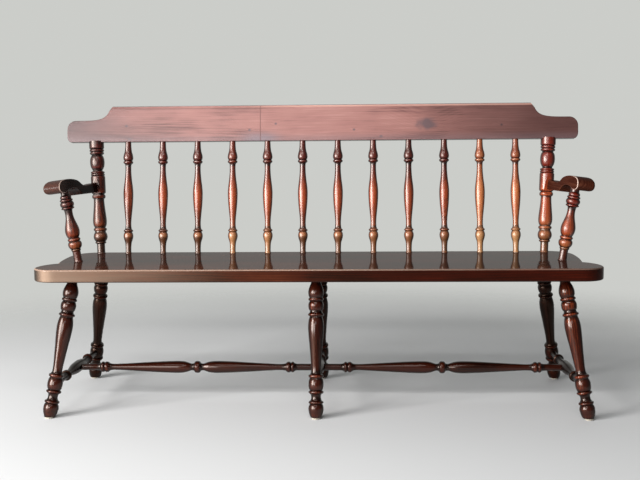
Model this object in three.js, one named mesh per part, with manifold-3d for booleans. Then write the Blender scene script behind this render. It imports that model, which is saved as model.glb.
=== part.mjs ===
// Deacon's bench: plank seat on six turned legs with stretchers, twelve spindles and two posts
// under a shaped crest rail, and a rolled arm on a turned post at each end.
// Millimetres, +Z up, front towards -Y, origin on the floor under the middle of the bench.
import * as THREE from "three";
import { mergeVertices } from "three/addons/utils/BufferGeometryUtils.js";
import Module from "manifold-3d";

// Fits: the air that touching pieces keep, and how far a cutting tool runs past a surface
const jointGap = 0.3;
const overrun = 12;

// Seat: two boards glued edge to edge, with rounded front ears, a nick and a rear lobe at each end
const seatHeight = 440;
const seatThickness = 38;
const seatLength = 1672;
const seatDepth = 438;
const seatEdgeRound = 5;
const frontBoardDepth = 165;
const earCorner = 66;
const nickInset = 44;
const lobeInset = 25;
const lobeTipInset = 13;
const nickDepth = 12;
const rearCornerLength = 72;
const rearCornerDepth = 106;

// Legs: turned, splayed to the ends and to the front or back, on small round glides
const legDiameter = 47.4;
const frontLegTopFromEnd = 110;
const frontLegTopFromFront = 75;
const frontLegSideSplay = 63;
const frontLegForwardSplay = 75;
const rearLegTopFromEnd = 118;
const rearLegTopFromBack = 60;
const rearLegSideSplay = 66;
const rearLegBackSplay = 107;
const legTenonDepth = 28;
const glideDiameter = 25;
const glideHeight = 5;
const glideRim = 1.6;
const glidePinDiameter = 5;
const glidePinLength = 12;

// Stretchers: cross ones from front leg to rear leg, long ones between the cross ones
const stretcherHeight = 97;
const crossStretcherDiameter = 36;
const longStretcherDiameter = 37.7;
const stretcherWeb = 6;

// Back: everything in it leans by the rake, and stands on a line near the seat's rear edge
const backLineFromRear = 25;
const backRake = THREE.MathUtils.degToRad(6.66);
const postFootFromEnd = 107;
const postHeadOutward = 16;
const postDiameter = 48.5;
const postSeatDepth = 22;
const postTenonDiameter = 20;
const postTenonLength = 30;
const spindleCount = 12;
const spindleFromPost = 91;
const spindleDiameter = 32.5;
const spindleSeatDepth = 22;
const spindleTenonDiameter = 13;
const spindleTenonLength = 20;

// Crest rail: two boards butted end to end on dowels, with a raised middle and round ends
const crestHeightOverSeat = 368;
const crestThickness = 30;
const crestPastPost = 94;
const crestShoulderRise = 71;
const crestCrownRise = 118;
const crownFromEnd = 153;
const ogeeStep = 13;
const ogeeDrop = 16;
const ogeeFootFromEnd = 97;
const crestUpperCorner = 29;
const crestLowerCornerLength = 11;
const crestLowerCornerHeight = 22;
const crownBevelHeight = 8;
const crownBevelDepth = 6;
const crestSeamFromMiddle = 196;
const crestDowelDiameter = 10;
const crestDowelLength = 70;

// Arms: rolled boards from the back posts forward, flaring out and tipped like their posts
const armUndersideOverSeat = 200;
const armLength = 310;
const armHeight = 54;
const armWidth = 55;
const armRearWidth = 40;
const armEdgeRound = 4;
const armOutFromPost = 17;
const armFlare = THREE.MathUtils.degToRad(6.4);
const armTip = THREE.MathUtils.degToRad(7.3);
const postFlatDepth = 6;
const postFlatMargin = 6;
const armDowelDiameter = 10;
const armDowelInset = 9;
const armDowelLength = 56;
const armPostDiameter = 44;
const armPostFootFromEnd = 90.5;
const armPostFootFromFront = 203;
const armPostSeatDepth = 22;
const armPostHeadDepth = 12;

// Facets: sides of a turned piece, and steps along each curve of an outline
const turningFacets = 8;
const curveSteps = 6;

// Turned profiles: each point is a share of the visible length and a share of the full diameter
const ringSteps = 2;
const ballSteps = 4;

function bead(from, to, widest, side, steps) {
  const points = [];
  for (let step = 0; step <= steps; step += 1) {
    const angle = (Math.PI * step) / steps;
    const along = from + ((to - from) * (1 - Math.cos(angle))) / 2;
    points.push([along, side + (widest - side) * Math.sin(angle)]);
  }
  return points;
}

const ring = (from, to, widest, side) => bead(from, to, widest, side, ringSteps);
const ball = (from, to, widest, side) => bead(from, to, widest, side, ballSteps);

const spindleShares = [
  [0, 0.66], [0.075, 0.73], ...ball(0.115, 0.19, 0.97, 0.74), ...ring(0.201, 0.226, 1, 0.76),
  [0.239, 0.66], [0.36, 0.8], [0.44, 0.95], [0.515, 1], [0.59, 0.95], [0.67, 0.8], [0.777, 0.66],
  ...ring(0.81, 0.832, 0.96, 0.71), [0.848, 0.94], [0.865, 0.985],
  [0.895, 0.91], [0.935, 0.73], [1, 0.62],
];

const postShares = [
  [0, 0.55], [0.085, 0.55], ...ring(0.086, 0.104, 0.74, 0.66), ...ball(0.106, 0.2, 0.953, 0.68),
  ...ring(0.206, 0.228, 0.907, 0.68), [0.235, 0.68], [0.25, 0.86], [0.275, 0.953], [0.34, 0.92],
  [0.42, 0.8], [0.487, 0.736], ...ring(0.494, 0.516, 0.9, 0.76), [0.53, 0.76], [0.549, 0.973],
  [0.69, 0.973], ...ring(0.695, 0.712, 0.973, 0.88), ...ring(0.714, 0.731, 0.973, 0.88),
  [0.744, 0.64], [0.765, 0.83], [0.795, 0.95], [0.825, 0.988], [0.855, 0.93], [0.879, 0.68],
  ...ring(0.889, 0.907, 0.95, 0.8), ...ring(0.909, 0.927, 0.95, 0.8), [0.93, 1], [1, 1],
];

const armPostShares = [
  [0, 0.605], [0.13, 0.66], ...ring(0.137, 0.155, 0.72, 0.66), ...ball(0.162, 0.28, 0.92, 0.68),
  ...ring(0.283, 0.305, 0.88, 0.72), [0.32, 0.74], [0.365, 0.92], [0.43, 1], [0.51, 0.94],
  [0.6, 0.77], [0.71, 0.625], ...ring(0.722, 0.748, 0.84, 0.68), ...ball(0.755, 0.85, 0.92, 0.74),
  ...ring(0.853, 0.877, 0.86, 0.7), ...ring(0.88, 0.907, 0.8, 0.66), [0.92, 0.61], [1, 0.6],
];

const legShares = [
  [0, 0.58], [0.012, 0.66], [0.035, 0.85], [0.068, 0.91], [0.098, 0.83], [0.108, 0.72],
  ...ring(0.111, 0.13, 0.89, 0.72), [0.155, 0.61], ...ring(0.175, 0.195, 0.92, 0.74),
  ...ball(0.2, 0.292, 0.89, 0.74), ...ring(0.298, 0.32, 0.9, 0.72), [0.34, 0.58], [0.432, 0.675],
  [0.574, 0.907], [0.65, 0.97], [0.69, 0.9], [0.717, 0.78], ...ring(0.723, 0.748, 1, 0.78),
  ...ball(0.765, 0.815, 0.96, 0.8), ...ring(0.828, 0.854, 0.95, 0.8), [0.885, 0.93], [0.905, 0.96],
  [0.93, 0.88], [0.96, 0.66], [0.975, 0.58], [1, 0.57],
];

const mirrored = (halfShares) => [
  ...halfShares,
  ...halfShares.slice(0, -1).reverse().map(([along, across]) => [1 - along, across]),
];

const crossStretcherShares = mirrored([
  [0, 0.52], [0.21, 0.56], ...ring(0.222, 0.258, 0.92, 0.6), [0.275, 0.52], [0.33, 0.6],
  [0.41, 0.86], [0.455, 0.98], [0.5, 1],
]);

const longStretcherShares = mirrored([
  [0, 0.565], [0.1, 0.565], ...ring(0.105, 0.119, 0.886, 0.64), ...ring(0.12, 0.134, 0.886, 0.64),
  [0.157, 0.5], [0.29, 0.79], [0.4, 0.99], [0.42, 1], [0.452, 0.86], [0.466, 0.66], [0.475, 0.45],
  [0.484, 0.5], [0.489, 0.87], [0.5, 0.98],
]);

// Arm outline seen from the side: shares of its length from the back post, and of its height
const armOutlineShares = [
  [0, 0.6], [0.13, 0.545], [0.3, 0.525], [0.375, 0.56], [0.43, 0.7], [0.483, 0.835], [0.565, 0.925],
  [0.66, 0.98], [0.745, 1], [0.84, 0.98], [0.91, 0.91], [0.965, 0.79], [1, 0.61], [1, 0.46],
  [0.975, 0.33], [0.93, 0.26], [0.88, 0.245], [0.83, 0.3], [0.79, 0.39], [0.73, 0.44], [0.65, 0.46],
  [0.56, 0.43], [0.48, 0.32], [0.43, 0.17], [0.4, 0.04], [0, 0],
];
const armPostAlongShare = 0.7;
const armUndersideAtPostShare = 0.45;
const armDowelHeightShare = 0.3;
const crestDowelHeightShares = [0.36, 0.72];

// Finishes: one dark red-brown stain under varnish, lighter on the crest and the turnings
const finish = (color, roughness) => new THREE.MeshStandardMaterial({
  color, roughness, metalness: 0, flatShading: true,
});
const seatFinish = finish(0x4b332b, 0.22);
const crestFinish = finish(0x87504a, 0.34);
const turnedFinish = finish(0x5a2a1c, 0.26);
const legFinish = finish(0x43211a, 0.28);
const dowelFinish = finish(0xc49a6c, 0.7);
const glideFinish = finish(0xd9d4c8, 0.45);

// Solids: closed meshes become manifolds for the joints' cuts, and come back as geometry
const wasm = await Module();
wasm.setup();

function closed(geometry) {
  const bare = geometry.clone();
  bare.deleteAttribute("normal");
  bare.deleteAttribute("uv");
  const merged = mergeVertices(bare);
  const corners = Array.from(merged.index.array);
  const kept = [];
  for (let at = 0; at < corners.length; at += 3) {
    const [a, b, c] = corners.slice(at, at + 3);
    if (a !== b && b !== c && c !== a) kept.push(a, b, c);
  }
  merged.setIndex(kept);
  return merged;
}

function solidOf(geometry) {
  return new wasm.Manifold(new wasm.Mesh({
    numProp: 3,
    vertProperties: Float32Array.from(geometry.attributes.position.array),
    triVerts: Uint32Array.from(geometry.index.array),
  }));
}

function geometryOf(solid) {
  const mesh = solid.getMesh();
  const geometry = new THREE.BufferGeometry();
  geometry.setAttribute("position", new THREE.BufferAttribute(mesh.vertProperties, mesh.numProp));
  geometry.setIndex(new THREE.BufferAttribute(mesh.triVerts, 1));
  return geometry;
}

// A tool is a geometry and the object in whose place it cuts
const tool = (geometry, carrier) => ({ geometry, carrier });

function cut(mesh, ...tools) {
  mesh.updateWorldMatrix(true, false);
  let solid = solidOf(mesh.geometry);
  for (const { geometry, carrier } of tools) {
    carrier.updateWorldMatrix(true, false);
    const placement = mesh.matrixWorld.clone().invert().multiply(carrier.matrixWorld);
    solid = solid.subtract(solidOf(geometry.clone().applyMatrix4(placement)));
  }
  mesh.geometry = geometryOf(solid);
}

function join(mesh, geometry) {
  mesh.geometry = geometryOf(solidOf(mesh.geometry).add(solidOf(geometry)));
}

// Turning: a lathe profile of radius and height, stood on +Z
function revolve(profile, facets) {
  const points = profile.map(([radius, height]) => new THREE.Vector2(radius, height));
  return closed(new THREE.LatheGeometry(points, facets).rotateX(Math.PI / 2));
}

const rod = (radius, from, to, facets) => (
  revolve([[0, from], [radius, from], [radius, to], [0, to]], facets));

// The hole for a round end, a gap wider all round
const bore = (radius, from, to, facets) => (
  rod(radius + jointGap / Math.cos(Math.PI / facets), from, to, facets));

const radiusAt = (share, diameter) => (share[1] * diameter) / 2;
const last = (list) => list[list.length - 1];

// Its round ends run on past the visible length, into their sockets
function turning({ shares, length, diameter, facets, footDepth, headDepth, headRadius }) {
  const outline = shares.map((share) => [radiusAt(share, diameter), share[0] * length]);
  const tenonRadius = headRadius ?? last(outline)[0];
  return revolve([
    [0, -footDepth], [outline[0][0], -footDepth], ...outline,
    [tenonRadius, length], [tenonRadius, length + headDepth], [0, length + headDepth],
  ], facets);
}

function addPiece(parent, name, material, geometry) {
  const mesh = new THREE.Mesh(geometry, material.clone());
  mesh.name = name;
  parent.add(mesh);
  return mesh;
}

// A piece's +Z is aimed from one point at another
function aim(object, from, to) {
  const direction = to.clone().sub(from).normalize();
  object.position.copy(from);
  object.quaternion.setFromUnitVectors(new THREE.Vector3(0, 0, 1), direction);
}

const block = (low, high) => closed(
  new THREE.BoxGeometry(high[0] - low[0], high[1] - low[1], high[2] - low[2])
    .translate((low[0] + high[0]) / 2, (low[1] + high[1]) / 2, (low[2] + high[2]) / 2));

const bench = new THREE.Group();
const seatEnd = seatLength / 2;
const seatUnderside = seatHeight - seatThickness;
const ends = [["left", -1], ["right", 1]];
const columns = [["left", -1], ["centre", 0], ["right", 1]];

// Seat boards: one outline with its rounded edge, parted along the glue line
function seatOutline() {
  const nickX = seatEnd - nickInset;
  const nickY = frontBoardDepth - nickDepth;
  const lobeX = seatEnd - lobeInset;
  const lobeStartY = seatDepth - rearCornerDepth;
  const path = new THREE.Path();
  path.moveTo(seatEnd - earCorner, 0);
  path.absellipse(seatEnd - earCorner, earCorner, earCorner, earCorner, -Math.PI / 2, 0, false);
  path.bezierCurveTo(
    seatEnd, (earCorner + nickY) / 2, (seatEnd + nickX) / 2, nickY - nickDepth, nickX, nickY);
  path.lineTo(lobeX - lobeTipInset, frontBoardDepth);
  path.quadraticCurveTo(lobeX, (frontBoardDepth + lobeStartY) / 2, lobeX, lobeStartY);
  path.bezierCurveTo(
    lobeX, seatDepth - rearCornerDepth / 2, lobeX - rearCornerLength / 4, seatDepth,
    lobeX - rearCornerLength, seatDepth);
  const right = path.getPoints(curveSteps);
  const left = right.map(({ x, y }) => new THREE.Vector2(-x, y)).reverse();
  return new THREE.Shape([...right, ...left]);
}

const seatSlab = () => closed(new THREE.ExtrudeGeometry(seatOutline(), {
  depth: seatThickness - 2 * seatEdgeRound,
  bevelThickness: seatEdgeRound,
  bevelSize: seatEdgeRound,
  bevelOffset: -seatEdgeRound,
  bevelSegments: 2,
}).translate(0, 0, seatUnderside + seatEdgeRound));

const acrossSeat = (fromY, toY) => tool(
  block([-seatLength, fromY, seatUnderside - overrun], [seatLength, toY, seatHeight + overrun]), bench);

const seatFront = addPiece(bench, "seat_front_board", seatFinish, seatSlab());
cut(seatFront, acrossSeat(frontBoardDepth - jointGap / 2, seatDepth + overrun));
const seatRear = addPiece(bench, "seat_rear_board", seatFinish, seatSlab());
cut(seatRear, acrossSeat(-overrun, frontBoardDepth + jointGap / 2));

// Legs: bored into the seat from below, cut level over their glides
const glideProfile = [
  [0, 0], [glideDiameter / 2 - glideRim, 0], [glideDiameter / 2, glideRim],
  [glideDiameter / 2, glideHeight], [glidePinDiameter / 2, glideHeight],
  [glidePinDiameter / 2, glideHeight + glidePinLength], [0, glideHeight + glidePinLength],
];

function addLeg(name, foot, head, board) {
  const length = foot.distanceTo(head);
  const leg = addPiece(bench, `leg_${name}`, legFinish, turning({
    shares: legShares, length, diameter: legDiameter, facets: turningFacets,
    footDepth: 0, headDepth: legTenonDepth,
  }));
  aim(leg, foot, head);
  const glide = addPiece(bench, `glide_${name}`, glideFinish, revolve(glideProfile, turningFacets));
  glide.position.copy(foot);
  const underFoot = block(
    [-legDiameter, -legDiameter, -legDiameter], [legDiameter, legDiameter, glideHeight + jointGap]);
  const pinHole = bore(
    glidePinDiameter / 2, 0, glideHeight + glidePinLength + jointGap, turningFacets);
  cut(leg, tool(underFoot, glide), tool(pinHole, glide));
  const headRadius = radiusAt(last(legShares), legDiameter);
  cut(board, tool(
    bore(headRadius, length - overrun, length + legTenonDepth + jointGap, turningFacets), leg));
  return { leg, foot, head };
}

const legRows = [
  {
    row: "front", board: seatFront, fromEnd: frontLegTopFromEnd, topY: frontLegTopFromFront,
    outward: frontLegSideSplay, backward: -frontLegForwardSplay,
  },
  {
    row: "rear", board: seatRear, fromEnd: rearLegTopFromEnd, topY: seatDepth - rearLegTopFromBack,
    outward: rearLegSideSplay, backward: rearLegBackSplay,
  },
];
const legs = {};
for (const { row, board, fromEnd, topY, outward, backward } of legRows) {
  for (const [column, end] of columns) {
    const topX = end * (seatEnd - fromEnd);
    legs[`${row}_${column}`] = addLeg(
      `${row}_${column}`,
      new THREE.Vector3(topX + end * outward, topY + backward, 0),
      new THREE.Vector3(topX, topY, seatUnderside),
      board);
  }
}

// Stretchers: each round end stops short of the middle of the piece that it is bored into
function addStretcher({ name, shares, diameter, from, to, carriers, carrierDiameter }) {
  const web = to.clone().sub(from).normalize().multiplyScalar(stretcherWeb / 2);
  const start = from.clone().add(web);
  const finish = to.clone().sub(web);
  const length = start.distanceTo(finish);
  const piece = addPiece(bench, name, legFinish, turning({
    shares, length, diameter, facets: turningFacets, footDepth: 0, headDepth: 0,
  }));
  aim(piece, start, finish);
  const endRadius = radiusAt(shares[0], diameter);
  cut(carriers[0], tool(bore(endRadius, -jointGap, carrierDiameter, turningFacets), piece));
  cut(carriers[1], tool(
    bore(endRadius, length - carrierDiameter, length + jointGap, turningFacets), piece));
  return piece;
}

const axisAt = ({ foot, head }, height) => foot.clone().lerp(head, height / seatUnderside);

const crossStretchers = {};
for (const [column] of columns) {
  const front = legs[`front_${column}`];
  const rear = legs[`rear_${column}`];
  const from = axisAt(front, stretcherHeight);
  const to = axisAt(rear, stretcherHeight);
  const piece = addStretcher({
    name: `cross_stretcher_${column}`, shares: crossStretcherShares, diameter: crossStretcherDiameter,
    from, to, carriers: [front.leg, rear.leg], carrierDiameter: legDiameter,
  });
  crossStretchers[column] = { piece, middle: from.lerp(to, 1 / 2) };
}

for (const [column] of ends) {
  const outer = crossStretchers[column];
  const centre = crossStretchers.centre;
  addStretcher({
    name: `long_stretcher_${column}`, shares: longStretcherShares, diameter: longStretcherDiameter,
    from: outer.middle, to: centre.middle,
    carriers: [outer.piece, centre.piece], carrierDiameter: crossStretcherDiameter,
  });
}

// Back: its own leaning frame, +Z up the posts, standing on the seat
const back = new THREE.Group();
back.position.set(0, seatDepth - backLineFromRear, seatHeight);
back.rotation.x = -backRake;
bench.add(back);

const postFootX = seatEnd - postFootFromEnd;
const crestEnd = postFootX + postHeadOutward + crestPastPost;

// Crest rail: one outline, parted at the seam between its two boards
function crestOutline() {
  const crownX = crestEnd - crownFromEnd;
  const ogeeX = crownX + ogeeStep;
  const ogeeY = crestCrownRise - ogeeDrop;
  const ogeeFootX = crestEnd - ogeeFootFromEnd;
  const path = new THREE.Path();
  path.moveTo(crestEnd - crestLowerCornerLength, 0);
  path.quadraticCurveTo(crestEnd, crestLowerCornerHeight / 4, crestEnd, crestLowerCornerHeight);
  path.absellipse(
    crestEnd - crestUpperCorner, crestShoulderRise - crestUpperCorner,
    crestUpperCorner, crestUpperCorner, 0, Math.PI / 2, false);
  path.bezierCurveTo(
    ogeeFootX, crestShoulderRise, ogeeX + ogeeStep, crestShoulderRise, ogeeX, ogeeY);
  path.lineTo(crownX, crestCrownRise);
  const right = path.getPoints(curveSteps);
  const left = right.map(({ x, y }) => new THREE.Vector2(-x, y)).reverse();
  return new THREE.Shape([...right, ...left]);
}

function crestSlab() {
  const slab = new THREE.ExtrudeGeometry(crestOutline(), { depth: crestThickness, bevelEnabled: false });
  return closed(slab.rotateX(Math.PI / 2).translate(0, crestThickness / 2, 0));
}

function crownBevel() {
  const face = -crestThickness / 2;
  const wedge = new THREE.Shape([
    new THREE.Vector2(face - crownBevelDepth, crestCrownRise - 2 * crownBevelHeight),
    new THREE.Vector2(face + 2 * crownBevelDepth, crestCrownRise + crownBevelHeight),
    new THREE.Vector2(face - crownBevelDepth, crestCrownRise + crownBevelHeight),
  ]);
  const prism = new THREE.ExtrudeGeometry(wedge, { depth: 2 * crestEnd, bevelEnabled: false });
  return closed(prism.translate(0, 0, -crestEnd).rotateX(Math.PI / 2).rotateZ(Math.PI / 2));
}

const crestFrame = new THREE.Group();
crestFrame.position.z = crestHeightOverSeat;
back.add(crestFrame);
const alongCrest = (fromX, toX) => tool(
  block([fromX, -crestThickness, -overrun], [toX, crestThickness, crestCrownRise + overrun]), crestFrame);
const crestLeft = addPiece(crestFrame, "crest_rail_left", crestFinish, crestSlab());
const crestRight = addPiece(crestFrame, "crest_rail_right", crestFinish, crestSlab());
const seamX = -crestSeamFromMiddle;
cut(crestLeft, tool(crownBevel(), crestFrame), alongCrest(seamX - jointGap / 2, crestEnd + overrun));
cut(crestRight, tool(crownBevel(), crestFrame), alongCrest(-crestEnd - overrun, seamX + jointGap / 2));

crestDowelHeightShares.forEach((heightShare, index) => {
  const half = crestDowelLength / 2;
  const dowel = addPiece(crestFrame, `crest_dowel_${index + 1}`, dowelFinish,
    rod(crestDowelDiameter / 2, -half, half, turningFacets));
  dowel.position.set(seamX, 0, heightShare * crestCrownRise);
  dowel.rotation.y = Math.PI / 2;
  const hole = tool(bore(crestDowelDiameter / 2, -half - jointGap, half + jointGap, turningFacets), dowel);
  cut(crestLeft, hole);
  cut(crestRight, hole);
});

const crestBoardAt = (x) => (x < seamX ? crestLeft : crestRight);

// Spindles: plain round feet in the seat, shouldered tenons in the crest rail
const spindleRun = 2 * (postFootX - spindleFromPost);
for (let index = 0; index < spindleCount; index += 1) {
  const number = String(index + 1).padStart(2, "0");
  const length = crestHeightOverSeat - jointGap;
  const tenonRadius = spindleTenonDiameter / 2;
  const spindle = addPiece(back, `spindle_${number}`, turnedFinish, turning({
    shares: spindleShares, length, diameter: spindleDiameter, facets: turningFacets,
    footDepth: spindleSeatDepth, headDepth: spindleTenonLength, headRadius: tenonRadius,
  }));
  spindle.position.x = (index / (spindleCount - 1) - 1 / 2) * spindleRun;
  const footRadius = radiusAt(spindleShares[0], spindleDiameter);
  cut(seatRear, tool(bore(footRadius, -spindleSeatDepth - jointGap, overrun, turningFacets), spindle));
  cut(crestBoardAt(spindle.position.x), tool(
    bore(tenonRadius, length - overrun, length + spindleTenonLength + jointGap, turningFacets), spindle));
}

// Posts: trimmed flush under the crest rail, then given their tenons
const overCrestLine = tool(block(
  [-crestEnd, -postDiameter, -jointGap], [crestEnd, postDiameter, crestCrownRise]), crestFrame);

function addPost(name, end) {
  const foot = new THREE.Vector3(end * postFootX, 0, 0);
  const head = new THREE.Vector3(end * (postFootX + postHeadOutward), 0, crestHeightOverSeat);
  const length = foot.distanceTo(head);
  const post = addPiece(back, name, turnedFinish, turning({
    shares: postShares, length, diameter: postDiameter, facets: turningFacets,
    footDepth: postSeatDepth, headDepth: overrun,
  }));
  aim(post, foot, head);
  cut(post, overCrestLine);
  const tenonRadius = postTenonDiameter / 2;
  join(post, rod(tenonRadius, length - postDiameter, length + postTenonLength, turningFacets));
  const footRadius = radiusAt(postShares[0], postDiameter);
  cut(seatRear, tool(bore(footRadius, -postSeatDepth - jointGap, overrun, turningFacets), post));
  cut(crestBoardAt(head.x), tool(
    bore(tenonRadius, length - overrun, length + postTenonLength + jointGap, turningFacets), post));
  return { post, foot, head };
}

// Arms: the outline is drawn with x towards the back and y up, then laid along the arm
const armRearHeight = armOutlineShares[0][1] * armHeight;

function armGeometry() {
  const outline = armOutlineShares.map(([along, up]) => new THREE.Vector2(-along * armLength, up * armHeight));
  const slab = new THREE.ExtrudeGeometry(new THREE.Shape(outline), {
    depth: armWidth - 2 * armEdgeRound,
    bevelThickness: armEdgeRound,
    bevelSize: armEdgeRound,
    bevelOffset: -armEdgeRound,
    bevelSegments: 2,
  });
  slab.translate(0, 0, armEdgeRound - armWidth / 2).rotateX(Math.PI / 2).rotateZ(Math.PI / 2);
  const position = slab.attributes.position;
  for (let index = 0; index < position.count; index += 1) {
    const forward = -position.getY(index) / armLength;
    const width = THREE.MathUtils.lerp(armRearWidth, armWidth, forward);
    position.setX(index, (position.getX(index) * width) / armWidth);
  }
  return closed(slab);
}

function addArm(column, end) {
  const { post, foot, head } = addPost(`back_post_${column}`, end);
  const arm = addPiece(bench, `arm_${column}`, turnedFinish, armGeometry());
  const rise = armUndersideOverSeat + armRearHeight / 2;
  const onPost = back.localToWorld(foot.lerp(head, rise / crestHeightOverSeat));
  const reach = postDiameter / 2 - postFlatDepth + jointGap;
  arm.position.set(
    onPost.x + end * armOutFromPost, onPost.y - reach, seatHeight + armUndersideOverSeat);
  arm.rotation.set(0, end * armTip, end * armFlare, "ZYX");
  cut(post, tool(block(
    [-2 * postDiameter, -postDiameter, -postFlatMargin],
    [2 * postDiameter, jointGap, armRearHeight + postFlatMargin]), arm));
  addArmDowel(column, end, arm, post);
  addArmPost(column, end, arm);
}

function addArmDowel(column, end, arm, post) {
  const half = armDowelLength / 2;
  const dowel = addPiece(arm, `arm_dowel_${column}`, dowelFinish,
    rod(armDowelDiameter / 2, -half, half, turningFacets));
  dowel.position.set(-end * armDowelInset, 0, armDowelHeightShare * armHeight);
  dowel.rotation.x = Math.PI / 2;
  const hole = tool(bore(armDowelDiameter / 2, -half - jointGap, half + jointGap, turningFacets), dowel);
  cut(arm, hole);
  cut(post, hole);
}

function addArmPost(column, end, arm) {
  const foot = new THREE.Vector3(end * (seatEnd - armPostFootFromEnd), armPostFootFromFront, seatHeight);
  const head = arm.localToWorld(new THREE.Vector3(
    0, -armPostAlongShare * armLength, armUndersideAtPostShare * armHeight));
  const length = foot.distanceTo(head);
  const armPost = addPiece(bench, `arm_post_${column}`, turnedFinish, turning({
    shares: armPostShares, length, diameter: armPostDiameter, facets: turningFacets,
    footDepth: armPostSeatDepth, headDepth: armPostHeadDepth,
  }));
  aim(armPost, foot, head);
  const footRadius = radiusAt(armPostShares[0], armPostDiameter);
  const headRadius = radiusAt(last(armPostShares), armPostDiameter);
  cut(seatRear, tool(bore(footRadius, -armPostSeatDepth - jointGap, overrun, turningFacets), armPost));
  cut(arm, tool(
    bore(headRadius, length - overrun, length + armPostHeadDepth + jointGap, turningFacets), armPost));
}

bench.updateMatrixWorld(true);
for (const [column, end] of ends) addArm(column, end);

// The origin goes to the floor under the middle of the whole bench
const extent = new THREE.Box3().setFromObject(bench, true);
const model = new THREE.Group();
bench.position.y = -(extent.min.y + extent.max.y) / 2;
model.add(bench);

export default model;
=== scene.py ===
# Deacon's bench: the finished surface of each piece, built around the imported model.
# Metres, +Z up, front towards -Y, origin on the floor under the middle of the bench.
import math

import bmesh
import bpy
from mathutils import Matrix, Vector
from mathutils.geometry import interpolate_bezier


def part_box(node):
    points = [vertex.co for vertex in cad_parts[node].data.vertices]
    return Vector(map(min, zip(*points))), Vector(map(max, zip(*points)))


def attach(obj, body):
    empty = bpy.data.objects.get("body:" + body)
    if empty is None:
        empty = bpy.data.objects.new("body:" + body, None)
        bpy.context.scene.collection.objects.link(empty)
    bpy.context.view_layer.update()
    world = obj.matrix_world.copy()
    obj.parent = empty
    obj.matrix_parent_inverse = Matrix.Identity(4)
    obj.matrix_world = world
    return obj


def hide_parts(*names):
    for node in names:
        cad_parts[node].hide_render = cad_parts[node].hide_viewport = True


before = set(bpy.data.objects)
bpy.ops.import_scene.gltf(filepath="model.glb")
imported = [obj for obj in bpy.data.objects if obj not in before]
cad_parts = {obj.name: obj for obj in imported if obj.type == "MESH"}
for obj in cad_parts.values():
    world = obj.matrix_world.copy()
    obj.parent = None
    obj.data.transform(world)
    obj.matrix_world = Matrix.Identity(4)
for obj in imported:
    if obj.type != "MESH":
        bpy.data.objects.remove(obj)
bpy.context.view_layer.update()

# Seat boards, as they lie in the frame
FRONT_BOARD_LOW, FRONT_BOARD_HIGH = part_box("seat_front_board")
REAR_BOARD_LOW, REAR_BOARD_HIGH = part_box("seat_rear_board")
SEAT_FRONT = FRONT_BOARD_LOW.y
SEAT_REAR = REAR_BOARD_HIGH.y
SEAT_TOP = FRONT_BOARD_HIGH.z
SEAT_UNDERSIDE = FRONT_BOARD_LOW.z
SEAT_END = FRONT_BOARD_HIGH.x
LOBE_END = REAR_BOARD_HIGH.x
GLUE_LINE = (FRONT_BOARD_HIGH.y + REAR_BOARD_LOW.y) / 2
GLUE_GAP = 0.00025
EAR_CORNER = 0.066
NICK_INSET = 0.044
NICK_DEPTH = 0.012
LOBE_TIP_INSET = 0.013
REAR_CORNER_LENGTH = 0.072
REAR_CORNER_DEPTH = 0.106
SEAT_EDGE_ROUND = 0.0048

# Legs and stretchers
LEG_DIAMETER = 0.0474
LEG_HEADS = {"front": (0.110, 0.075), "rear": (0.118, 0.378)}
LEG_IN_SEAT = 0.006
GLIDE_HEIGHT = 0.005
GLIDE_RIM = 0.0016
STRETCHER_HEIGHT = 0.097
CROSS_STRETCHER_DIAMETER = 0.036
LONG_STRETCHER_DIAMETER = 0.0377
STRETCHER_WEB = 0.003

# Back, leaning by the rake on a line near the seat's rear edge
BACK_LINE_FROM_REAR = 0.025
BACK_RAKE = math.radians(6.66)
POST_FOOT_X = SEAT_END - 0.107
POST_HEAD_OUTWARD = 0.016
POST_DIAMETER = 0.0485
SPINDLE_COUNT = 12
SPINDLE_FROM_POST = 0.091
SPINDLE_DIAMETER = 0.0325
FOOT_IN_SEAT = 0.006
HEAD_IN_CREST = 0.004

# Crest rail
CREST_OVER_SEAT = 0.368
CREST_THICKNESS = 0.030
CREST_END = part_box("crest_rail_right")[1].x
CREST_SEAM = (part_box("crest_rail_left")[1].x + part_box("crest_rail_right")[0].x) / 2
CREST_SHOULDER = 0.071
CREST_CROWN = 0.118
CROWN_FROM_END = 0.153
OGEE_STEP = 0.013
OGEE_DROP = 0.016
OGEE_FOOT_FROM_END = 0.097
CREST_UPPER_CORNER = 0.029
CREST_LOWER_CORNER_LENGTH = 0.011
CREST_LOWER_CORNER_HEIGHT = 0.022
CREST_EDGE_ROUND = 0.0028
CROWN_BEVEL = 0.007
CROWN_BEVEL_STEPS = 2

# Arms and their posts
ARM_OVER_SEAT = 0.200
ARM_LENGTH = 0.310
ARM_HEIGHT = 0.054
ARM_WIDTH = 0.055
ARM_REAR_WIDTH = 0.040
ARM_REAR_HEIGHT = 0.6 * ARM_HEIGHT
ARM_OUT_FROM_POST = 0.017
ARM_FLARE = math.radians(6.4)
ARM_TIP = math.radians(7.3)
ARM_INNER_ROUND = 0.0025
ARM_OUTER_ROUND = 0.008
ARM_FLAT_PROUD, ARM_RIM_PROUD, ARM_ROLL_PROUD = 0.5, 1.0, 0.6
POST_FLAT_DEPTH = 0.006
ARM_TO_FLAT = 0.0003
FLAT_UNDER_ARM = 0.012
FLAT_OVER_ARM = 0.018
FLAT_RAMP = 0.002
ARM_POST_DIAMETER = 0.044
ARM_POST_FOOT_FROM_END = 0.0905
ARM_POST_FOOT_FROM_FRONT = 0.203
ARM_POST_ALONG_SHARE = 0.7
ARM_UNDERSIDE_SHARE = 0.45

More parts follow.
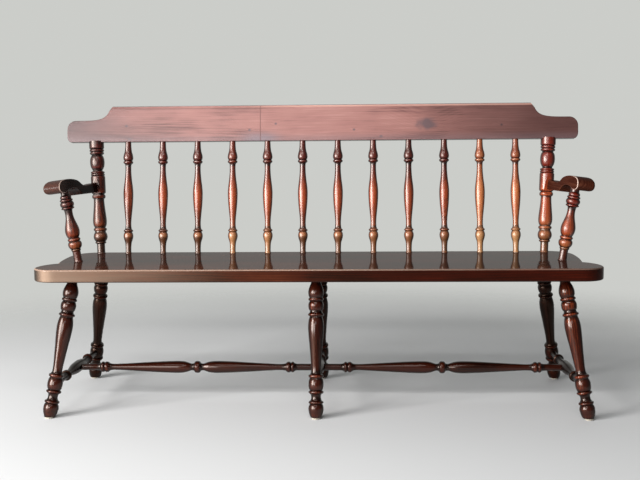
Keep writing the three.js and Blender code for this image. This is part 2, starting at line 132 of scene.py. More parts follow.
# Facets: sides of a turned piece, steps along a curve and round an edge
TURNED_SIDES = 48
CURVE_STEPS = 16
STROKE_STEPS = 5
ARM_STROKE_STEPS = 3
BEAD_STEPS = 8
EDGE_STEPS = 4

ENDS = (("left", -1), ("right", 1))
COLUMNS = (("left", -1), ("centre", 0), ("right", 1))


# Turned profiles: a point is a share of the visible length and a share of the full diameter
def curve(*points, steps=STROKE_STEPS):
    """A smooth stroke through the points."""
    shares = []
    for index in range(len(points) - 1):
        before = points[max(index - 1, 0)]
        start, end = points[index], points[index + 1]
        after = points[min(index + 2, len(points) - 1)]
        for step in range(steps):
            t = step / steps
            slope_in = [(end[axis] - before[axis]) / 2 for axis in (0, 1)]
            slope_out = [(after[axis] - start[axis]) / 2 for axis in (0, 1)]
            shares.append([
                start[axis] * (2 * t ** 3 - 3 * t ** 2 + 1) + slope_in[axis] * (t ** 3 - 2 * t ** 2 + t)
                + end[axis] * (3 * t ** 2 - 2 * t ** 3) + slope_out[axis] * (t ** 3 - t ** 2)
                for axis in (0, 1)])
    shares.append(list(points[-1]))
    return shares


def bead(start, end, widest, side):
    """Half an ellipse standing on the diameter at its sides."""
    shares = []
    for step in range(BEAD_STEPS + 1):
        angle = math.pi * step / BEAD_STEPS
        along = start + (end - start) * (1 - math.cos(angle)) / 2
        shares.append([along, side + (widest - side) * math.sin(angle)])
    return shares


def flare(start, end, at_start, at_end):
    """A hollow sweep that opens towards its wider end."""
    shares = []
    for step in range(BEAD_STEPS + 1):
        angle = math.pi / 2 * step / BEAD_STEPS
        run, rise = math.sin(angle), 1 - math.cos(angle)
        if at_start > at_end:
            run, rise = rise, run
        shares.append([start + (end - start) * run, at_start + (at_end - at_start) * rise])
    return shares


def mirrored(half):
    return half + [[1 - along, across] for along, across in reversed(half[:-1])]


SPINDLE_SHARES = [
    *curve((0, 0.65), (0.006, 0.62), (0.014, 0.575), (0.037, 0.57), (0.07, 0.6), (0.095, 0.67), (0.115, 0.81),
           (0.135, 0.94), (0.153, 0.985), (0.17, 0.94), (0.182, 0.84), (0.188, 0.76)),
    *bead(0.193, 0.208, 0.96, 0.84),
    *flare(0.209, 0.242, 0.86, 0.6),
    *curve((0.243, 0.6), (0.265, 0.575), (0.31, 0.63), (0.365, 0.75), (0.433, 0.9), (0.502, 0.985),
           (0.55, 0.99), (0.604, 0.89), (0.65, 0.75), (0.707, 0.63), (0.75, 0.585), (0.782, 0.59)),
    *flare(0.783, 0.807, 0.59, 0.88),
    *bead(0.808, 0.828, 0.99, 0.86),
    *curve((0.832, 0.78), (0.84, 0.92), (0.857, 1), (0.873, 0.97), (0.892, 0.88), (0.913, 0.74),
           (0.947, 0.64), (1, 0.59)),
]

POST_SHARES = [
    *curve((0, 0.6), (0.005, 0.57), (0.012, 0.54), (0.045, 0.535), (0.083, 0.54)),
    *bead(0.088, 0.106, 0.74, 0.62),
    *curve((0.109, 0.7), (0.122, 0.84), (0.14, 0.925), (0.156, 0.93), (0.174, 0.87), (0.188, 0.75)),
    *bead(0.201, 0.228, 0.89, 0.74),
    *curve((0.232, 0.72), (0.242, 0.8), (0.258, 0.885), (0.28, 0.925), (0.307, 0.92), (0.35, 0.86),
           (0.395, 0.79), (0.44, 0.73), (0.484, 0.7)),
    *bead(0.492, 0.53, 0.91, 0.72),
    *curve((0.535, 0.8), (0.541, 0.91), (0.551, 0.965)),
    *curve((0.556, 0.968), (0.684, 0.968)),
    *curve((0.685, 0.968), (0.693, 0.94), (0.698, 0.87)),
    *bead(0.7, 0.717, 0.94, 0.84),
    *bead(0.72, 0.737, 0.94, 0.82),
    *curve((0.74, 0.72), (0.747, 0.65), (0.758, 0.74), (0.777, 0.88), (0.8, 0.955), (0.825, 0.975),
           (0.85, 0.94), (0.87, 0.85), (0.884, 0.72)),
    *bead(0.892, 0.912, 0.97, 0.82),
    *bead(0.916, 0.938, 0.98, 0.84),
    *curve((0.941, 0.88), (0.945, 0.96), (0.953, 1)),
    *curve((0.957, 1), (1, 1)),
]

ARM_POST_SHARES = [
    *curve((0, 0.64), (0.008, 0.61), (0.02, 0.575), (0.07, 0.565), (0.14, 0.57)),
    *bead(0.148, 0.172, 0.68, 0.6),
    *curve((0.174, 0.66), (0.187, 0.79), (0.21, 0.91), (0.238, 0.96), (0.26, 0.91), (0.276, 0.79)),
    *bead(0.284, 0.322, 0.89, 0.74),
    *curve((0.326, 0.74), (0.342, 0.82), (0.372, 0.94), (0.41, 1), (0.445, 0.99), (0.49, 0.89), (0.537, 0.75),
           (0.59, 0.61), (0.64, 0.54), (0.68, 0.545), (0.7, 0.565)),
    *flare(0.701, 0.727, 0.565, 0.84),
    *bead(0.728, 0.749, 0.91, 0.82),
    *curve((0.753, 0.78), (0.766, 0.89), (0.785, 0.96), (0.803, 0.955), (0.818, 0.88), (0.827, 0.79)),
    *bead(0.83, 0.863, 0.9, 0.76),
    *curve((0.866, 0.7), (0.872, 0.76), (0.886, 0.79), (0.902, 0.74), (0.914, 0.64), (0.925, 0.6)),
    *curve((0.926, 0.6), (1, 0.6)),
]

LEG_SHARES = [
    *curve((0, 0.58), (0.01, 0.66), (0.028, 0.8), (0.052, 0.9), (0.075, 0.935), (0.093, 0.88), (0.104, 0.77)),
    *bead(0.108, 0.124, 0.92, 0.82),
    *flare(0.125, 0.152, 0.86, 0.6),
    *curve((0.153, 0.6), (0.157, 0.6)),
    *flare(0.158, 0.18, 0.6, 0.86),
    *bead(0.181, 0.197, 0.93, 0.84),
    *curve((0.201, 0.76), (0.212, 0.86), (0.23, 0.925), (0.25, 0.935), (0.27, 0.89), (0.288, 0.78)),
    *bead(0.294, 0.312, 0.93, 0.84),
    *flare(0.313, 0.337, 0.86, 0.61),
    *curve((0.338, 0.61), (0.36, 0.6), (0.42, 0.665), (0.517, 0.805), (0.588, 0.925), (0.65, 0.99),
           (0.69, 0.945), (0.714, 0.86), (0.727, 0.79)),
    *bead(0.733, 0.751, 1, 0.86),
    *flare(0.752, 0.77, 0.9, 0.76),
    *curve((0.772, 0.8), (0.782, 0.89), (0.802, 0.95), (0.817, 0.945), (0.83, 0.87), (0.838, 0.79)),
    *bead(0.842, 0.862, 0.95, 0.82),
    *curve((0.865, 0.82), (0.88, 0.92), (0.9, 0.965), (0.92, 0.93), (0.94, 0.83), (0.958, 0.7),
           (0.975, 0.61), (1, 0.58)),
]

CROSS_STRETCHER_SHARES = mirrored([
    *curve((0, 0.52), (0.1, 0.53), (0.2, 0.56)),
    *flare(0.201, 0.228, 0.56, 0.84),
    *bead(0.229, 0.252, 0.93, 0.82),
    *curve((0.256, 0.68), (0.27, 0.56), (0.29, 0.54), (0.34, 0.63), (0.4, 0.85), (0.45, 0.98), (0.5, 1)),
])

LONG_STRETCHER_SHARES = mirrored([
    *curve((0, 0.55), (0.04, 0.545), (0.082, 0.55)),
    *flare(0.083, 0.1, 0.55, 0.82),
    *bead(0.1005, 0.11, 0.88, 0.8),
    *bead(0.1135, 0.13, 0.89, 0.72),
    *curve((0.132, 0.7), (0.137, 0.58), (0.148, 0.515), (0.17, 0.52), (0.21, 0.6), (0.29, 0.79), (0.36, 0.94),
           (0.41, 1), (0.436, 0.97), (0.452, 0.87), (0.463, 0.73), (0.472, 0.6), (0.477, 0.57)),
    *flare(0.478, 0.489, 0.57, 0.86),
    *curve((0.4895, 0.86), (0.492, 0.95), (0.496, 0.99), (0.5, 1)),
])

# Arm seen from the side: shares of its length from the back post, and of its height
ARM_TOP_SHARES = [
    (0, 0.6), (0.1, 0.56), (0.2, 0.535), (0.29, 0.52), (0.36, 0.545), (0.42, 0.66), (0.483, 0.83),
    (0.565, 0.93), (0.66, 0.985), (0.75, 1), (0.85, 0.99), (0.92, 0.94), (0.972, 0.82), (0.997, 0.66),
    (1, 0.5), (0.982, 0.36), (0.94, 0.27), (0.88, 0.245),
]
ARM_UNDER_SHARES = [
    (0.88, 0.245), (0.83, 0.285), (0.79, 0.36), (0.73, 0.43), (0.65, 0.45), (0.57, 0.42), (0.5, 0.31),
    (0.455, 0.16), (0.43, 0.03),
]
ARM_CORE_SHARES = [(0, 0.3), (0.32, 0.28), (0.44, 0.44), (0.55, 0.66), (0.7, 0.73), (0.8, 0.68), (0.88, 0.6)]


# Node trees
MIX_FACTOR, MIX_FIRST, MIX_SECOND, MIX_RESULT = 0, 6, 7, 2
VALUE, COLOUR, PLACE = "NodeSocketFloat", "NodeSocketColor", "NodeSocketVector"


def feed(tree, node, values):
    """Sets a node's inputs, and links those whose values come from other nodes."""
    for socket, value in values.items():
        if isinstance(value, bpy.types.NodeSocket):
            tree.links.new(value, node.inputs[socket])
        else:
            node.inputs[socket].default_value = value


def add(tree, kind, values=None, **settings):
    """A node with its settings, and its inputs set or linked."""
    made = tree.nodes.new(kind)
    for key, value in settings.items():
        setattr(made, key, value)
    feed(tree, made, values or {})
    return made


def calculate(tree, operation, *values):
    return add(tree, "ShaderNodeMath", dict(enumerate(values)), operation=operation).outputs[0]


def vector(tree, operation, *values, output="Vector"):
    return add(tree, "ShaderNodeVectorMath", dict(enumerate(values)), operation=operation).outputs[output]


def both(tree, mask, *others):
    """A mask for where every one of the masks holds: their product."""
    for other in others:
        mask = calculate(tree, "MULTIPLY", mask, other)
    return mask


def mixed(tree, mask, first, second, blend_type="MIX"):
    """The first colour, and the second one where the mask holds."""
    values = {MIX_FACTOR: mask, MIX_FIRST: first, MIX_SECOND: second}
    return add(tree, "ShaderNodeMix", values, data_type="RGBA", blend_type=blend_type).outputs[MIX_RESULT]


def shaded(tree, mask, colour, shade):
    """A colour multiplied by a shade where the mask holds."""
    return mixed(tree, mask, colour, shade, "MULTIPLY")


def ranged(tree, value, low, high, to_low=0.0, to_high=1.0):
    """Goes smoothly from one result to the other while the value goes from low to high."""
    return add(tree, "ShaderNodeMapRange", {
        "Value": value, "From Min": low, "From Max": high, "To Min": to_low, "To Max": to_high,
    }, interpolation_type="SMOOTHSTEP").outputs["Result"]


def falling(tree, value, low, high, strength=1.0):
    """A mask that holds below low and is gone above high."""
    return ranged(tree, value, low, high, strength, 0.0)


def noise(tree, place, scale, detail, roughness=0.5):
    return add(tree, "ShaderNodeTexNoise", {
        "Vector": place, "Scale": scale, "Detail": detail, "Roughness": roughness,
    }).outputs["Fac"]


def stretched(tree, place, across, along):
    """A place scaled across the grain and along it; the grain runs along Z."""
    return vector(tree, "MULTIPLY", place, (across, across, along))


def grain_noise(tree, place, scales, detail, roughness=0.5):
    return noise(tree, stretched(tree, place, *scales), 1.0, detail, roughness)


def attribute(tree, name):
    found = add(tree, "ShaderNodeAttribute", attribute_name=name)
    return found.outputs["Vector" if name == "grain" else "Fac"]


def on_bench(tree, axis):
    """Where a point lies along one of the bench's own axes."""
    place = add(tree, "ShaderNodeTexCoord").outputs["Object"]
    return add(tree, "ShaderNodeSeparateXYZ", {0: place}).outputs[axis]


def new_group(name, inputs, outputs):
    """A node group's tree, what it is given, and the node that takes its results."""
    tree = bpy.data.node_groups.new(name, "ShaderNodeTree")
    for label, kind, default in inputs:
        tree.interface.new_socket(label, in_out="INPUT", socket_type=kind).default_value = default
    for label, kind in outputs:
        tree.interface.new_socket(label, in_out="OUTPUT", socket_type=kind)
    return tree, tree.nodes.new("NodeGroupInput").outputs, tree.nodes.new("NodeGroupOutput")


def new_material(name):
    """A material, its tree and its shader."""
    material = bpy.data.materials.new(name)
    material.use_nodes = True
    return material, material.node_tree, material.node_tree.nodes["Principled BSDF"]


# Noise in the wood: how fine it is across the grain and along it, per metre, and the range it is read in
DRIFT = (5.0, 1.6)
FLUTTER = (60.0, 9.0)
FINE_FIBRES = (900.0, 18.0)
COARSE_FIBRES = (210.0, 5.0)
CLOUDS = (13.0, 4.0)
MOTTLES = (160.0, 60.0)
MOTTLE_FADE = (-0.35, 0.35)
BRUSHWORK = (70.0, 70.0 / 6)
CREST_PATCHES = (22.0, 5.0)
SEAT_PATCHES = (40.0, 3.0)
NOISE_MIDDLE = (0.33, 0.67)

# Growth rings: their taper along the grain, their flutter, and their late wood's rise and fall; and how
# much of the fibres is fine
RING_TAPER = 0.02
FLUTTER_SHARE = 0.09
LATE_WOOD_RISE = (0.15, 0.86)
LATE_WOOD_FALL = (0.88, 1.0)
FINE_SHARE = 0.45


def grain_group():
    """Growth rings round a pith, fine fibres and soft clouds, all drawn out along Z."""
    tree, given, out = new_group("grain", [
        ("Place", PLACE, (0, 0, 0)), ("Pith", PLACE, (0.05, 0.04, 0)), ("Ring Width", VALUE, 0.004),
        ("Wander", VALUE, 0.012), ("Bend", VALUE, 0.0),
    ], [("Rings", VALUE), ("Fibres", VALUE), ("Clouds", VALUE)])
    place, wander = given["Place"], given["Wander"]
    from_pith = stretched(tree, vector(tree, "SUBTRACT", place, given["Pith"]), 1.0, RING_TAPER)
    distance = vector(tree, "LENGTH", from_pith, output="Value")
    distance = calculate(tree, "MULTIPLY_ADD", grain_noise(tree, place, DRIFT, 1.0), wander, distance)
    flutter = calculate(tree, "MULTIPLY", wander, FLUTTER_SHARE)
    distance = calculate(tree, "MULTIPLY_ADD", grain_noise(tree, place, FLUTTER, 2.0), flutter, distance)
    distance = calculate(tree, "ADD", distance, given["Bend"])
    turns = calculate(tree, "FRACT", calculate(tree, "DIVIDE", distance, given["Ring Width"]))
    fine = grain_noise(tree, place, FINE_FIBRES, 3.0, 0.6)
    coarse = calculate(tree, "MULTIPLY", grain_noise(tree, place, COARSE_FIBRES, 3.0, 0.55), 1 - FINE_SHARE)
    fibres = calculate(tree, "MULTIPLY_ADD", fine, FINE_SHARE, coarse)
    feed(tree, out, {
        "Rings": both(tree, ranged(tree, turns, *LATE_WOOD_RISE), falling(tree, turns, *LATE_WOOD_FALL)),
        "Fibres": ranged(tree, fibres, *NOISE_MIDDLE),
        "Clouds": ranged(tree, grain_noise(tree, place, CLOUDS, 3.0), *NOISE_MIDDLE)})
    return tree


# Stain: the tones at which its three colours show, and what makes a place lighter or darker
DARK_TONE, MIDDLE_TONE, LIGHT_TONE = -0.1, 0.45, 1.05
PLAIN_TONE = 0.5
FIBRE_CONTRAST, CLOUD_CONTRAST = 0.35, 0.45
WORN_FROM_PROUD = (0.2, 1.0, -0.15, 0.12)
# Darker where the proud value is low: in grooves, and as painted shadow on a slab's lower rim
GROOVE_FROM_PROUD = (0.0, 0.3, 0.8)
FIBRE_ROUGHNESS = 0.08


def stain_group():
    """Stain over grain: dark in late wood and where the proud value is low, in grooves and, as painted
    shadow, on a slab's lower rim; thin on what stands proud.
    """
    tree, given, out = new_group("stain", [
        ("Rings", VALUE, 0.0), ("Fibres", VALUE, 0.5), ("Clouds", VALUE, 0.5), ("Proud", VALUE, 0.5),
        ("Tone", VALUE, 0.0), ("Dark", COLOUR, (0.02, 0.008, 0.006, 1)),
        ("Middle", COLOUR, (0.09, 0.03, 0.02, 1)), ("Light", COLOUR, (0.3, 0.11, 0.05, 1)),
        ("Ring Depth", VALUE, 0.35), ("Matt", VALUE, 0.3), ("Figure", VALUE, 1.0),
    ], [("Color", COLOUR), ("Roughness", VALUE), ("Height", VALUE)])
    rings, fibres, proud, dark = (given[label] for label in ("Rings", "Fibres", "Proud", "Dark"))
    streaks = calculate(tree, "MULTIPLY", calculate(tree, "SUBTRACT", fibres, 0.5), FIBRE_CONTRAST)
    clouds = calculate(tree, "SUBTRACT", given["Clouds"], 0.5)
    uneven = calculate(tree, "MULTIPLY_ADD", clouds, CLOUD_CONTRAST, streaks)
    tone = calculate(tree, "MULTIPLY_ADD", uneven, given["Figure"], PLAIN_TONE)
    tone = calculate(tree, "SUBTRACT", tone, calculate(tree, "MULTIPLY", rings, given["Ring Depth"]))
    tone = calculate(tree, "ADD", tone, given["Tone"])
    tone = calculate(tree, "ADD", tone, ranged(tree, proud, *WORN_FROM_PROUD))
    colour = mixed(tree, ranged(tree, tone, DARK_TONE, MIDDLE_TONE), dark, given["Middle"])
    colour = mixed(tree, ranged(tree, tone, MIDDLE_TONE, LIGHT_TONE), colour, given["Light"])
    feed(tree, out, {
        "Color": mixed(tree, falling(tree, proud, *GROOVE_FROM_PROUD), colour, dark),
        "Roughness": calculate(tree, "MULTIPLY_ADD", fibres, FIBRE_ROUGHNESS, given["Matt"]),
        "Height": calculate(tree, "MULTIPLY", calculate(tree, "ADD", fibres, rings), 0.5)})
    return tree


# Knots: how their outline wobbles, how soft the eye's edge is, and how far out the rings bend
KNOT_WOBBLE_SCALE, KNOT_WOBBLE = 55.0, 0.8
KNOT_EYE_EDGE = (0.7, 1.45)
KNOT_BEND_EDGE = (0.3, 3.6)


def knot_group():
    """A knot on a board: a dark eye, and the growth rings pushed round it."""
    tree, given, out = new_group("knot", [
        ("Place", PLACE, (0, 0, 0)), ("Centre", PLACE, (0, 0, 0)), ("Reach", PLACE, (1, 1, 1)),
        ("Push", VALUE, 0.01),
    ], [("Eye", VALUE), ("Bend", VALUE)])
    wobble = noise(tree, given["Place"], KNOT_WOBBLE_SCALE, 2.0)
    away = vector(tree, "DIVIDE", vector(tree, "SUBTRACT", given["Place"], given["Centre"]), given["Reach"])
    distance = vector(tree, "LENGTH", away, output="Value")
    uneven = calculate(tree, "MULTIPLY_ADD", wobble, KNOT_WOBBLE, distance)
    bend = calculate(tree, "MULTIPLY", falling(tree, distance, *KNOT_BEND_EDGE), given["Push"])
    feed(tree, out, {"Eye": falling(tree, uneven, *KNOT_EYE_EDGE), "Bend": bend})
    return tree


GRAIN, STAIN, KNOT = grain_group(), stain_group(), knot_group()


def srgb(red, green, blue):
    """A colour given as 0 to 255, as linear light."""
    def linear(channel):
        share = channel / 255
        return share / 12.92 if share <= 0.04045 else ((share + 0.055) / 1.055) ** 2.4
    return (linear(red), linear(green), linear(blue), 1.0)


# The knots' colour, the relief of grain and brushwork, and where a rim takes a painted highlight or is
# darkened towards the outline
KNOT_COLOUR = srgb(94, 74, 78)
KNOT_STRENGTH = (0.45, 0.95)
BUMP_STRENGTH, BUMP_DISTANCE = 0.5, 0.00003
GRAIN_RELIEF = 0.25
COAT_IOR = 1.5
RIM_HIGHLIGHT_FROM_PROUD = (0.6, 0.95)
OUTLINE_SHADE_FROM_FACING = (0.12, 0.6)


def wood(name, colours, pith, ring_width, wander, ring_depth, matt, finish, tint, sheen=None, knots=(),
         figure=1.0):
    """Stained wood under a coat of varnish, from the piece's own grain, proud and tone attributes."""
    material, tree, shader = new_material(name)
    place, proud, tone = (attribute(tree, label) for label in ("grain", "proud", "tone"))
    eye, bend = 0.0, 0.0
    for along, up, half_length, half_height in knots:
        knot = add(tree, "ShaderNodeGroup", {
            "Place": place, "Centre": (up, 0, along), "Reach": (half_height, 1.0, half_length),
            "Push": half_height,
        }, node_tree=KNOT).outputs
        eye = calculate(tree, "MAXIMUM", knot["Eye"], eye)
        bend = calculate(tree, "ADD", knot["Bend"], bend)
    grain = add(tree, "ShaderNodeGroup", {
        "Place": place, "Pith": pith, "Ring Width": ring_width, "Wander": wander, "Bend": bend,
    }, node_tree=GRAIN).outputs
    dark, middle, light = colours
    stain = add(tree, "ShaderNodeGroup", {
        "Rings": grain["Rings"], "Fibres": grain["Fibres"], "Clouds": grain["Clouds"], "Proud": proud,
        "Tone": tone, "Dark": dark, "Middle": middle, "Light": light, "Ring Depth": ring_depth,
        "Matt": matt, "Figure": figure,
    }, node_tree=STAIN).outputs
    colour = stain["Color"]
    if knots:
        mottled = ranged(tree, grain_noise(tree, place, MOTTLES, 3.0), *MOTTLE_FADE, *KNOT_STRENGTH)
        colour = mixed(tree, both(tree, eye, mottled), colour, KNOT_COLOUR)
    brushed = grain_noise(tree, place, BRUSHWORK, 1.0)
    height = calculate(tree, "MULTIPLY_ADD", stain["Height"], GRAIN_RELIEF, brushed)
    bump = add(tree, "ShaderNodeBump", {
        "Height": height, "Strength": BUMP_STRENGTH, "Distance": BUMP_DISTANCE})
    feed(tree, shader, {
        "Base Color": tint(tree, colour), "Roughness": stain["Roughness"], "Normal": bump.outputs["Normal"],
        **finish})
    if sheen:
        sheen(tree, shader)
    return material


def varnish(haze, warmth, coat, coat_roughness):
    """A broad haze from the stained wood, warm as the stain is, and the sharper gloss of the coat over it."""
    return {"Specular IOR Level": haze, "Specular Tint": warmth, "Coat Weight": coat,
            "Coat Roughness": coat_roughness, "Coat IOR": COAT_IOR}


def rim_highlight(tree, colour, highlight, strength):
    """Rims take a painted highlight."""
    painted_light = calculate(tree, "MULTIPLY", ranged(tree, attribute(tree, "proud"), *RIM_HIGHLIGHT_FROM_PROUD), strength)
    return mixed(tree, painted_light, colour, highlight)


def turned_away(tree):
    """How far a surface faces away from where it is seen."""
    return add(tree, "ShaderNodeLayerWeight", {"Blend": 0.5}).outputs["Facing"]


def darkened_outline(tree, colour, shade):
    """A piece is darkened towards its outline, partly as its stain looks deeper through the coat at a slant
    and partly as painted shade.
    """
    return shaded(tree, ranged(tree, turned_away(tree), *OUTLINE_SHADE_FROM_FACING), colour, shade)


# Crest rail: its stain, made pinker in part by painted sheen; its dirt, painted shade, reflection and
# highlight; and the lines along its crown, by their distance under it.
# Here and below a range is low and high, then the strength it falls from, or its results at low and high.
CREST_COLOURS = (srgb(84, 49, 47), srgb(144, 98, 92), srgb(172, 127, 120))
CREST_UNEVENNESS, CREST_RIM_SHADE = 0.3, srgb(112, 78, 76)
# Painted shade darkens the crest's right end, beyond its painted sheen
CREST_RIGHT, CREST_RIGHT_PAINTED_SHADE = (0.3, 0.9), srgb(146, 138, 138)
CREST_LEFT, CREST_LEFT_SHADE = (-0.8, -0.2), srgb(132, 132, 146)
# A painted grey reflection along the crest's lower edge
LOWER_REFLECTION_UP_TO, LOWER_PAINTED_REFLECTION = (0.002, 0.03, 0.45), srgb(106, 88, 92)
# A painted highlight under the crown, then a painted dark line and painted shade along the crown's edge
CROWN_HIGHLIGHT_FROM, CROWN_HIGHLIGHT_TO = (0.0015, 0.0035), (0.006, 0.0095, 0.55)
CROWN_HIGHLIGHT_COLOUR = srgb(206, 160, 146)
CROWN_HIGHLIGHT_LEFT_END = (-0.25, 0.1)
CROWN_LINE, CROWN_LINE_FADE = 0.0105, (0.0006, 0.0026, 0.6)
CROWN_EDGE_FADE = (0.0008, 0.0028, 0.7)
SMUDGE_OFF_SEAM, SMUDGE_UP_TO, SMUDGE_COLOUR = (0.01, 0.09, 0.6), (0.008, 0.04), srgb(112, 106, 116)
SEAM_FADE, SEAM_COLOUR = (0.0008, 0.0024, 0.6), srgb(92, 50, 46)

# Knots on the crest rail's face: place from the middle, height over its lower edge, half length and height
CREST_KNOTS = (
    (0.349, 0.052, 0.043, 0.026), (-0.640, 0.052, 0.007, 0.006), (-0.630, 0.008, 0.007, 0.005),
    (-0.232, 0.036, 0.006, 0.005), (-0.145, 0.056, 0.006, 0.006), (0.112, 0.034, 0.006, 0.005),
    (0.200, 0.012, 0.007, 0.005), (0.592, 0.046, 0.007, 0.006),
)


def crown_lines(tree, colour, under_crown, to_right):
    """A painted highlight under the crown to the right, a painted dark line to the left, and painted shade on
    the crown's edge.
    """
    crown_highlight = both(tree, ranged(tree, under_crown, *CROWN_HIGHLIGHT_FROM),
                 falling(tree, under_crown, *CROWN_HIGHLIGHT_TO), to_right)
    colour = mixed(tree, crown_highlight, colour, CROWN_HIGHLIGHT_COLOUR)
    off_line = calculate(tree, "ABSOLUTE", calculate(tree, "SUBTRACT", under_crown, CROWN_LINE))
    to_left = calculate(tree, "SUBTRACT", 1.0, to_right)
    line = both(tree, falling(tree, off_line, *CROWN_LINE_FADE), to_left)
    line = calculate(tree, "MAXIMUM", line, falling(tree, under_crown, *CROWN_EDGE_FADE))
    return mixed(tree, line, colour, CREST_COLOURS[0])


def crest_tint(tree, colour):
    """The crest rail takes painted shade towards its right end, greys at its left one, takes a painted
    reflection along its lower edge, and is dirty along its seam.
    """
    place = attribute(tree, "grain")
    parts = add(tree, "ShaderNodeSeparateXYZ", {0: place}).outputs
    up, along = parts["X"], parts["Z"]
    patchy = grain_noise(tree, place, CREST_PATCHES, 3.0)
    uneven = calculate(tree, "MULTIPLY_ADD", patchy, CREST_UNEVENNESS, along)
    # Painted shade towards the right end
    colour = shaded(tree, ranged(tree, uneven, *CREST_RIGHT), colour, CREST_RIGHT_PAINTED_SHADE)
    colour = shaded(tree, falling(tree, uneven, *CREST_LEFT), colour, CREST_LEFT_SHADE)
    # Painted reflection along the lower edge
    colour = mixed(tree, falling(tree, up, *LOWER_REFLECTION_UP_TO), colour, LOWER_PAINTED_REFLECTION)
    under_crown = calculate(tree, "SUBTRACT", CREST_CROWN, up)
    # Painted highlight and painted shade along the crown
    colour = crown_lines(tree, colour, under_crown, ranged(tree, uneven, *CROWN_HIGHLIGHT_LEFT_END))
    off_seam = calculate(tree, "ABSOLUTE", calculate(tree, "SUBTRACT", along, CREST_SEAM))
    smudge = both(tree, falling(tree, off_seam, *SMUDGE_OFF_SEAM), falling(tree, up, *SMUDGE_UP_TO))
    colour = mixed(tree, smudge, colour, SMUDGE_COLOUR)
    # Darkened towards the outline, partly with painted shade
    colour = darkened_outline(tree, colour, CREST_RIM_SHADE)
    return mixed(tree, falling(tree, off_seam, *SEAM_FADE), colour, SEAM_COLOUR)


# Seat: its stain, and the painted light and shade on its edge, by the place along the bench
SEAT_COLOURS = (srgb(24, 8, 4), srgb(58, 22, 10), srgb(96, 48, 28))
SEAT_UNEVENNESS = 0.25
# Painted shade at the right end of the seat's edge
SEAT_RIGHT, SEAT_RIGHT_PAINTED_SHADE = (0.0, 0.5), srgb(190, 120, 96)
# Painted sheen towards the left end of the seat's edge
LEFT_SHEEN_UP_TO, LEFT_SHEEN_COLOUR = (-0.8, 0.15), srgb(132, 113, 98)
# A painted highlight, and painted shade, on the left ear's end
EAR_HIGHLIGHT_FROM, EAR_HIGHLIGHT_TO = (-0.808, -0.79), (-0.782, -0.755, 0.45)
EAR_HIGHLIGHT_COLOUR = srgb(158, 136, 118)
EAR_TURNED_AWAY, EAR_PAINTED_SHADE = (-0.824, -0.797, 0.96), srgb(64, 62, 56)
# A painted highlight along the seat's rims, stronger to the left
SEAT_RIM_HIGHLIGHT, SEAT_RIM_HIGHLIGHT_STRENGTH = srgb(176, 150, 134), (0.2, 0.95, 0.55, 0.25)
SEAT_TOP_ROUGHNESS, SEAT_EDGE_ROUGHNESS = 0.95, 0.4
SEAT_TOP_COAT, SEAT_EDGE_COAT = 0.36, 0.2


def seat_tint(tree, colour):
    """The seat's edge takes a painted sheen towards its left end, a painted highlight and painted shade on
    the left ear, and painted shade at its right end; its rims take a painted highlight.
    """
    place, side, across = attribute(tree, "grain"), attribute(tree, "side"), on_bench(tree, "X")
    along = add(tree, "ShaderNodeSeparateXYZ", {0: place}).outputs["Z"]
    patchy = grain_noise(tree, place, SEAT_PATCHES, 3.0)
    uneven = calculate(tree, "MULTIPLY_ADD", patchy, SEAT_UNEVENNESS, along)
    # Painted shade towards the right end
    colour = shaded(tree, ranged(tree, uneven, *SEAT_RIGHT), colour, SEAT_RIGHT_PAINTED_SHADE)
    # Painted sheen towards the left end
    left_sheen = both(tree, falling(tree, uneven, *LEFT_SHEEN_UP_TO), side)
    colour = mixed(tree, left_sheen, colour, LEFT_SHEEN_COLOUR)
    # Painted highlight on the left ear
    ear_highlight = both(tree, ranged(tree, across, *EAR_HIGHLIGHT_FROM), falling(tree, across, *EAR_HIGHLIGHT_TO), side)
    colour = mixed(tree, ear_highlight, colour, EAR_HIGHLIGHT_COLOUR)
    # Painted shade where the ear's end turns away
    colour = shaded(tree, both(tree, falling(tree, across, *EAR_TURNED_AWAY), side), colour, EAR_PAINTED_SHADE)
    # Painted highlight along the rims
    return rim_highlight(tree, colour, SEAT_RIM_HIGHLIGHT, ranged(tree, uneven, *SEAT_RIM_HIGHLIGHT_STRENGTH))


def seat_sheen(tree, shader):
    """The seat's top is rough under its gloss, and its edge is smoother under a thinner one."""
    side = attribute(tree, "side")
    feed(tree, shader, {
        "Roughness": ranged(tree, side, 0.0, 1.0, SEAT_TOP_ROUGHNESS, SEAT_EDGE_ROUGHNESS),
        "Coat Weight": ranged(tree, side, 0.0, 1.0, SEAT_TOP_COAT, SEAT_EDGE_COAT)})


# Arms: their stain, and the painted light on the roll at the front, by the distance before the back post
ARM_COLOURS = (srgb(14, 5, 3), srgb(58, 26, 17), srgb(116, 70, 52))
ARM_ROLL_BEFORE_POST = (-0.3, -0.23)
# Painted light on the roll, most on the darker arm
ARM_ROLL_LIGHT_BY_TONE, ARM_ROLL_PAINTED_LIGHT = (-0.3, 0.0, 0.14), srgb(146, 108, 98)
# A painted highlight along the arm's inner rim
ARM_RIM_HIGHLIGHT = srgb(196, 172, 160)
ARM_COAT_BY_PROUD = (0.5, 0.6, 0.4, 1.0)
ARM_COAT_BY_TONE = (-0.3, 0.14, 0.32, 0.1)


def arm_tint(tree, colour):
    """The roll at an arm's front is lightened with painted light, most of all on the darker arm, and its
    inner rim takes a painted highlight.
    """
    roll = falling(tree, attribute(tree, "rise"), *ARM_ROLL_BEFORE_POST)
    # Painted light on the roll
    painted_light = both(tree, roll, falling(tree, attribute(tree, "tone"), *ARM_ROLL_LIGHT_BY_TONE))
    colour = mixed(tree, painted_light, colour, ARM_ROLL_PAINTED_LIGHT)
    # Painted highlight along the inner rim
    return rim_highlight(tree, colour, ARM_RIM_HIGHLIGHT, roll)


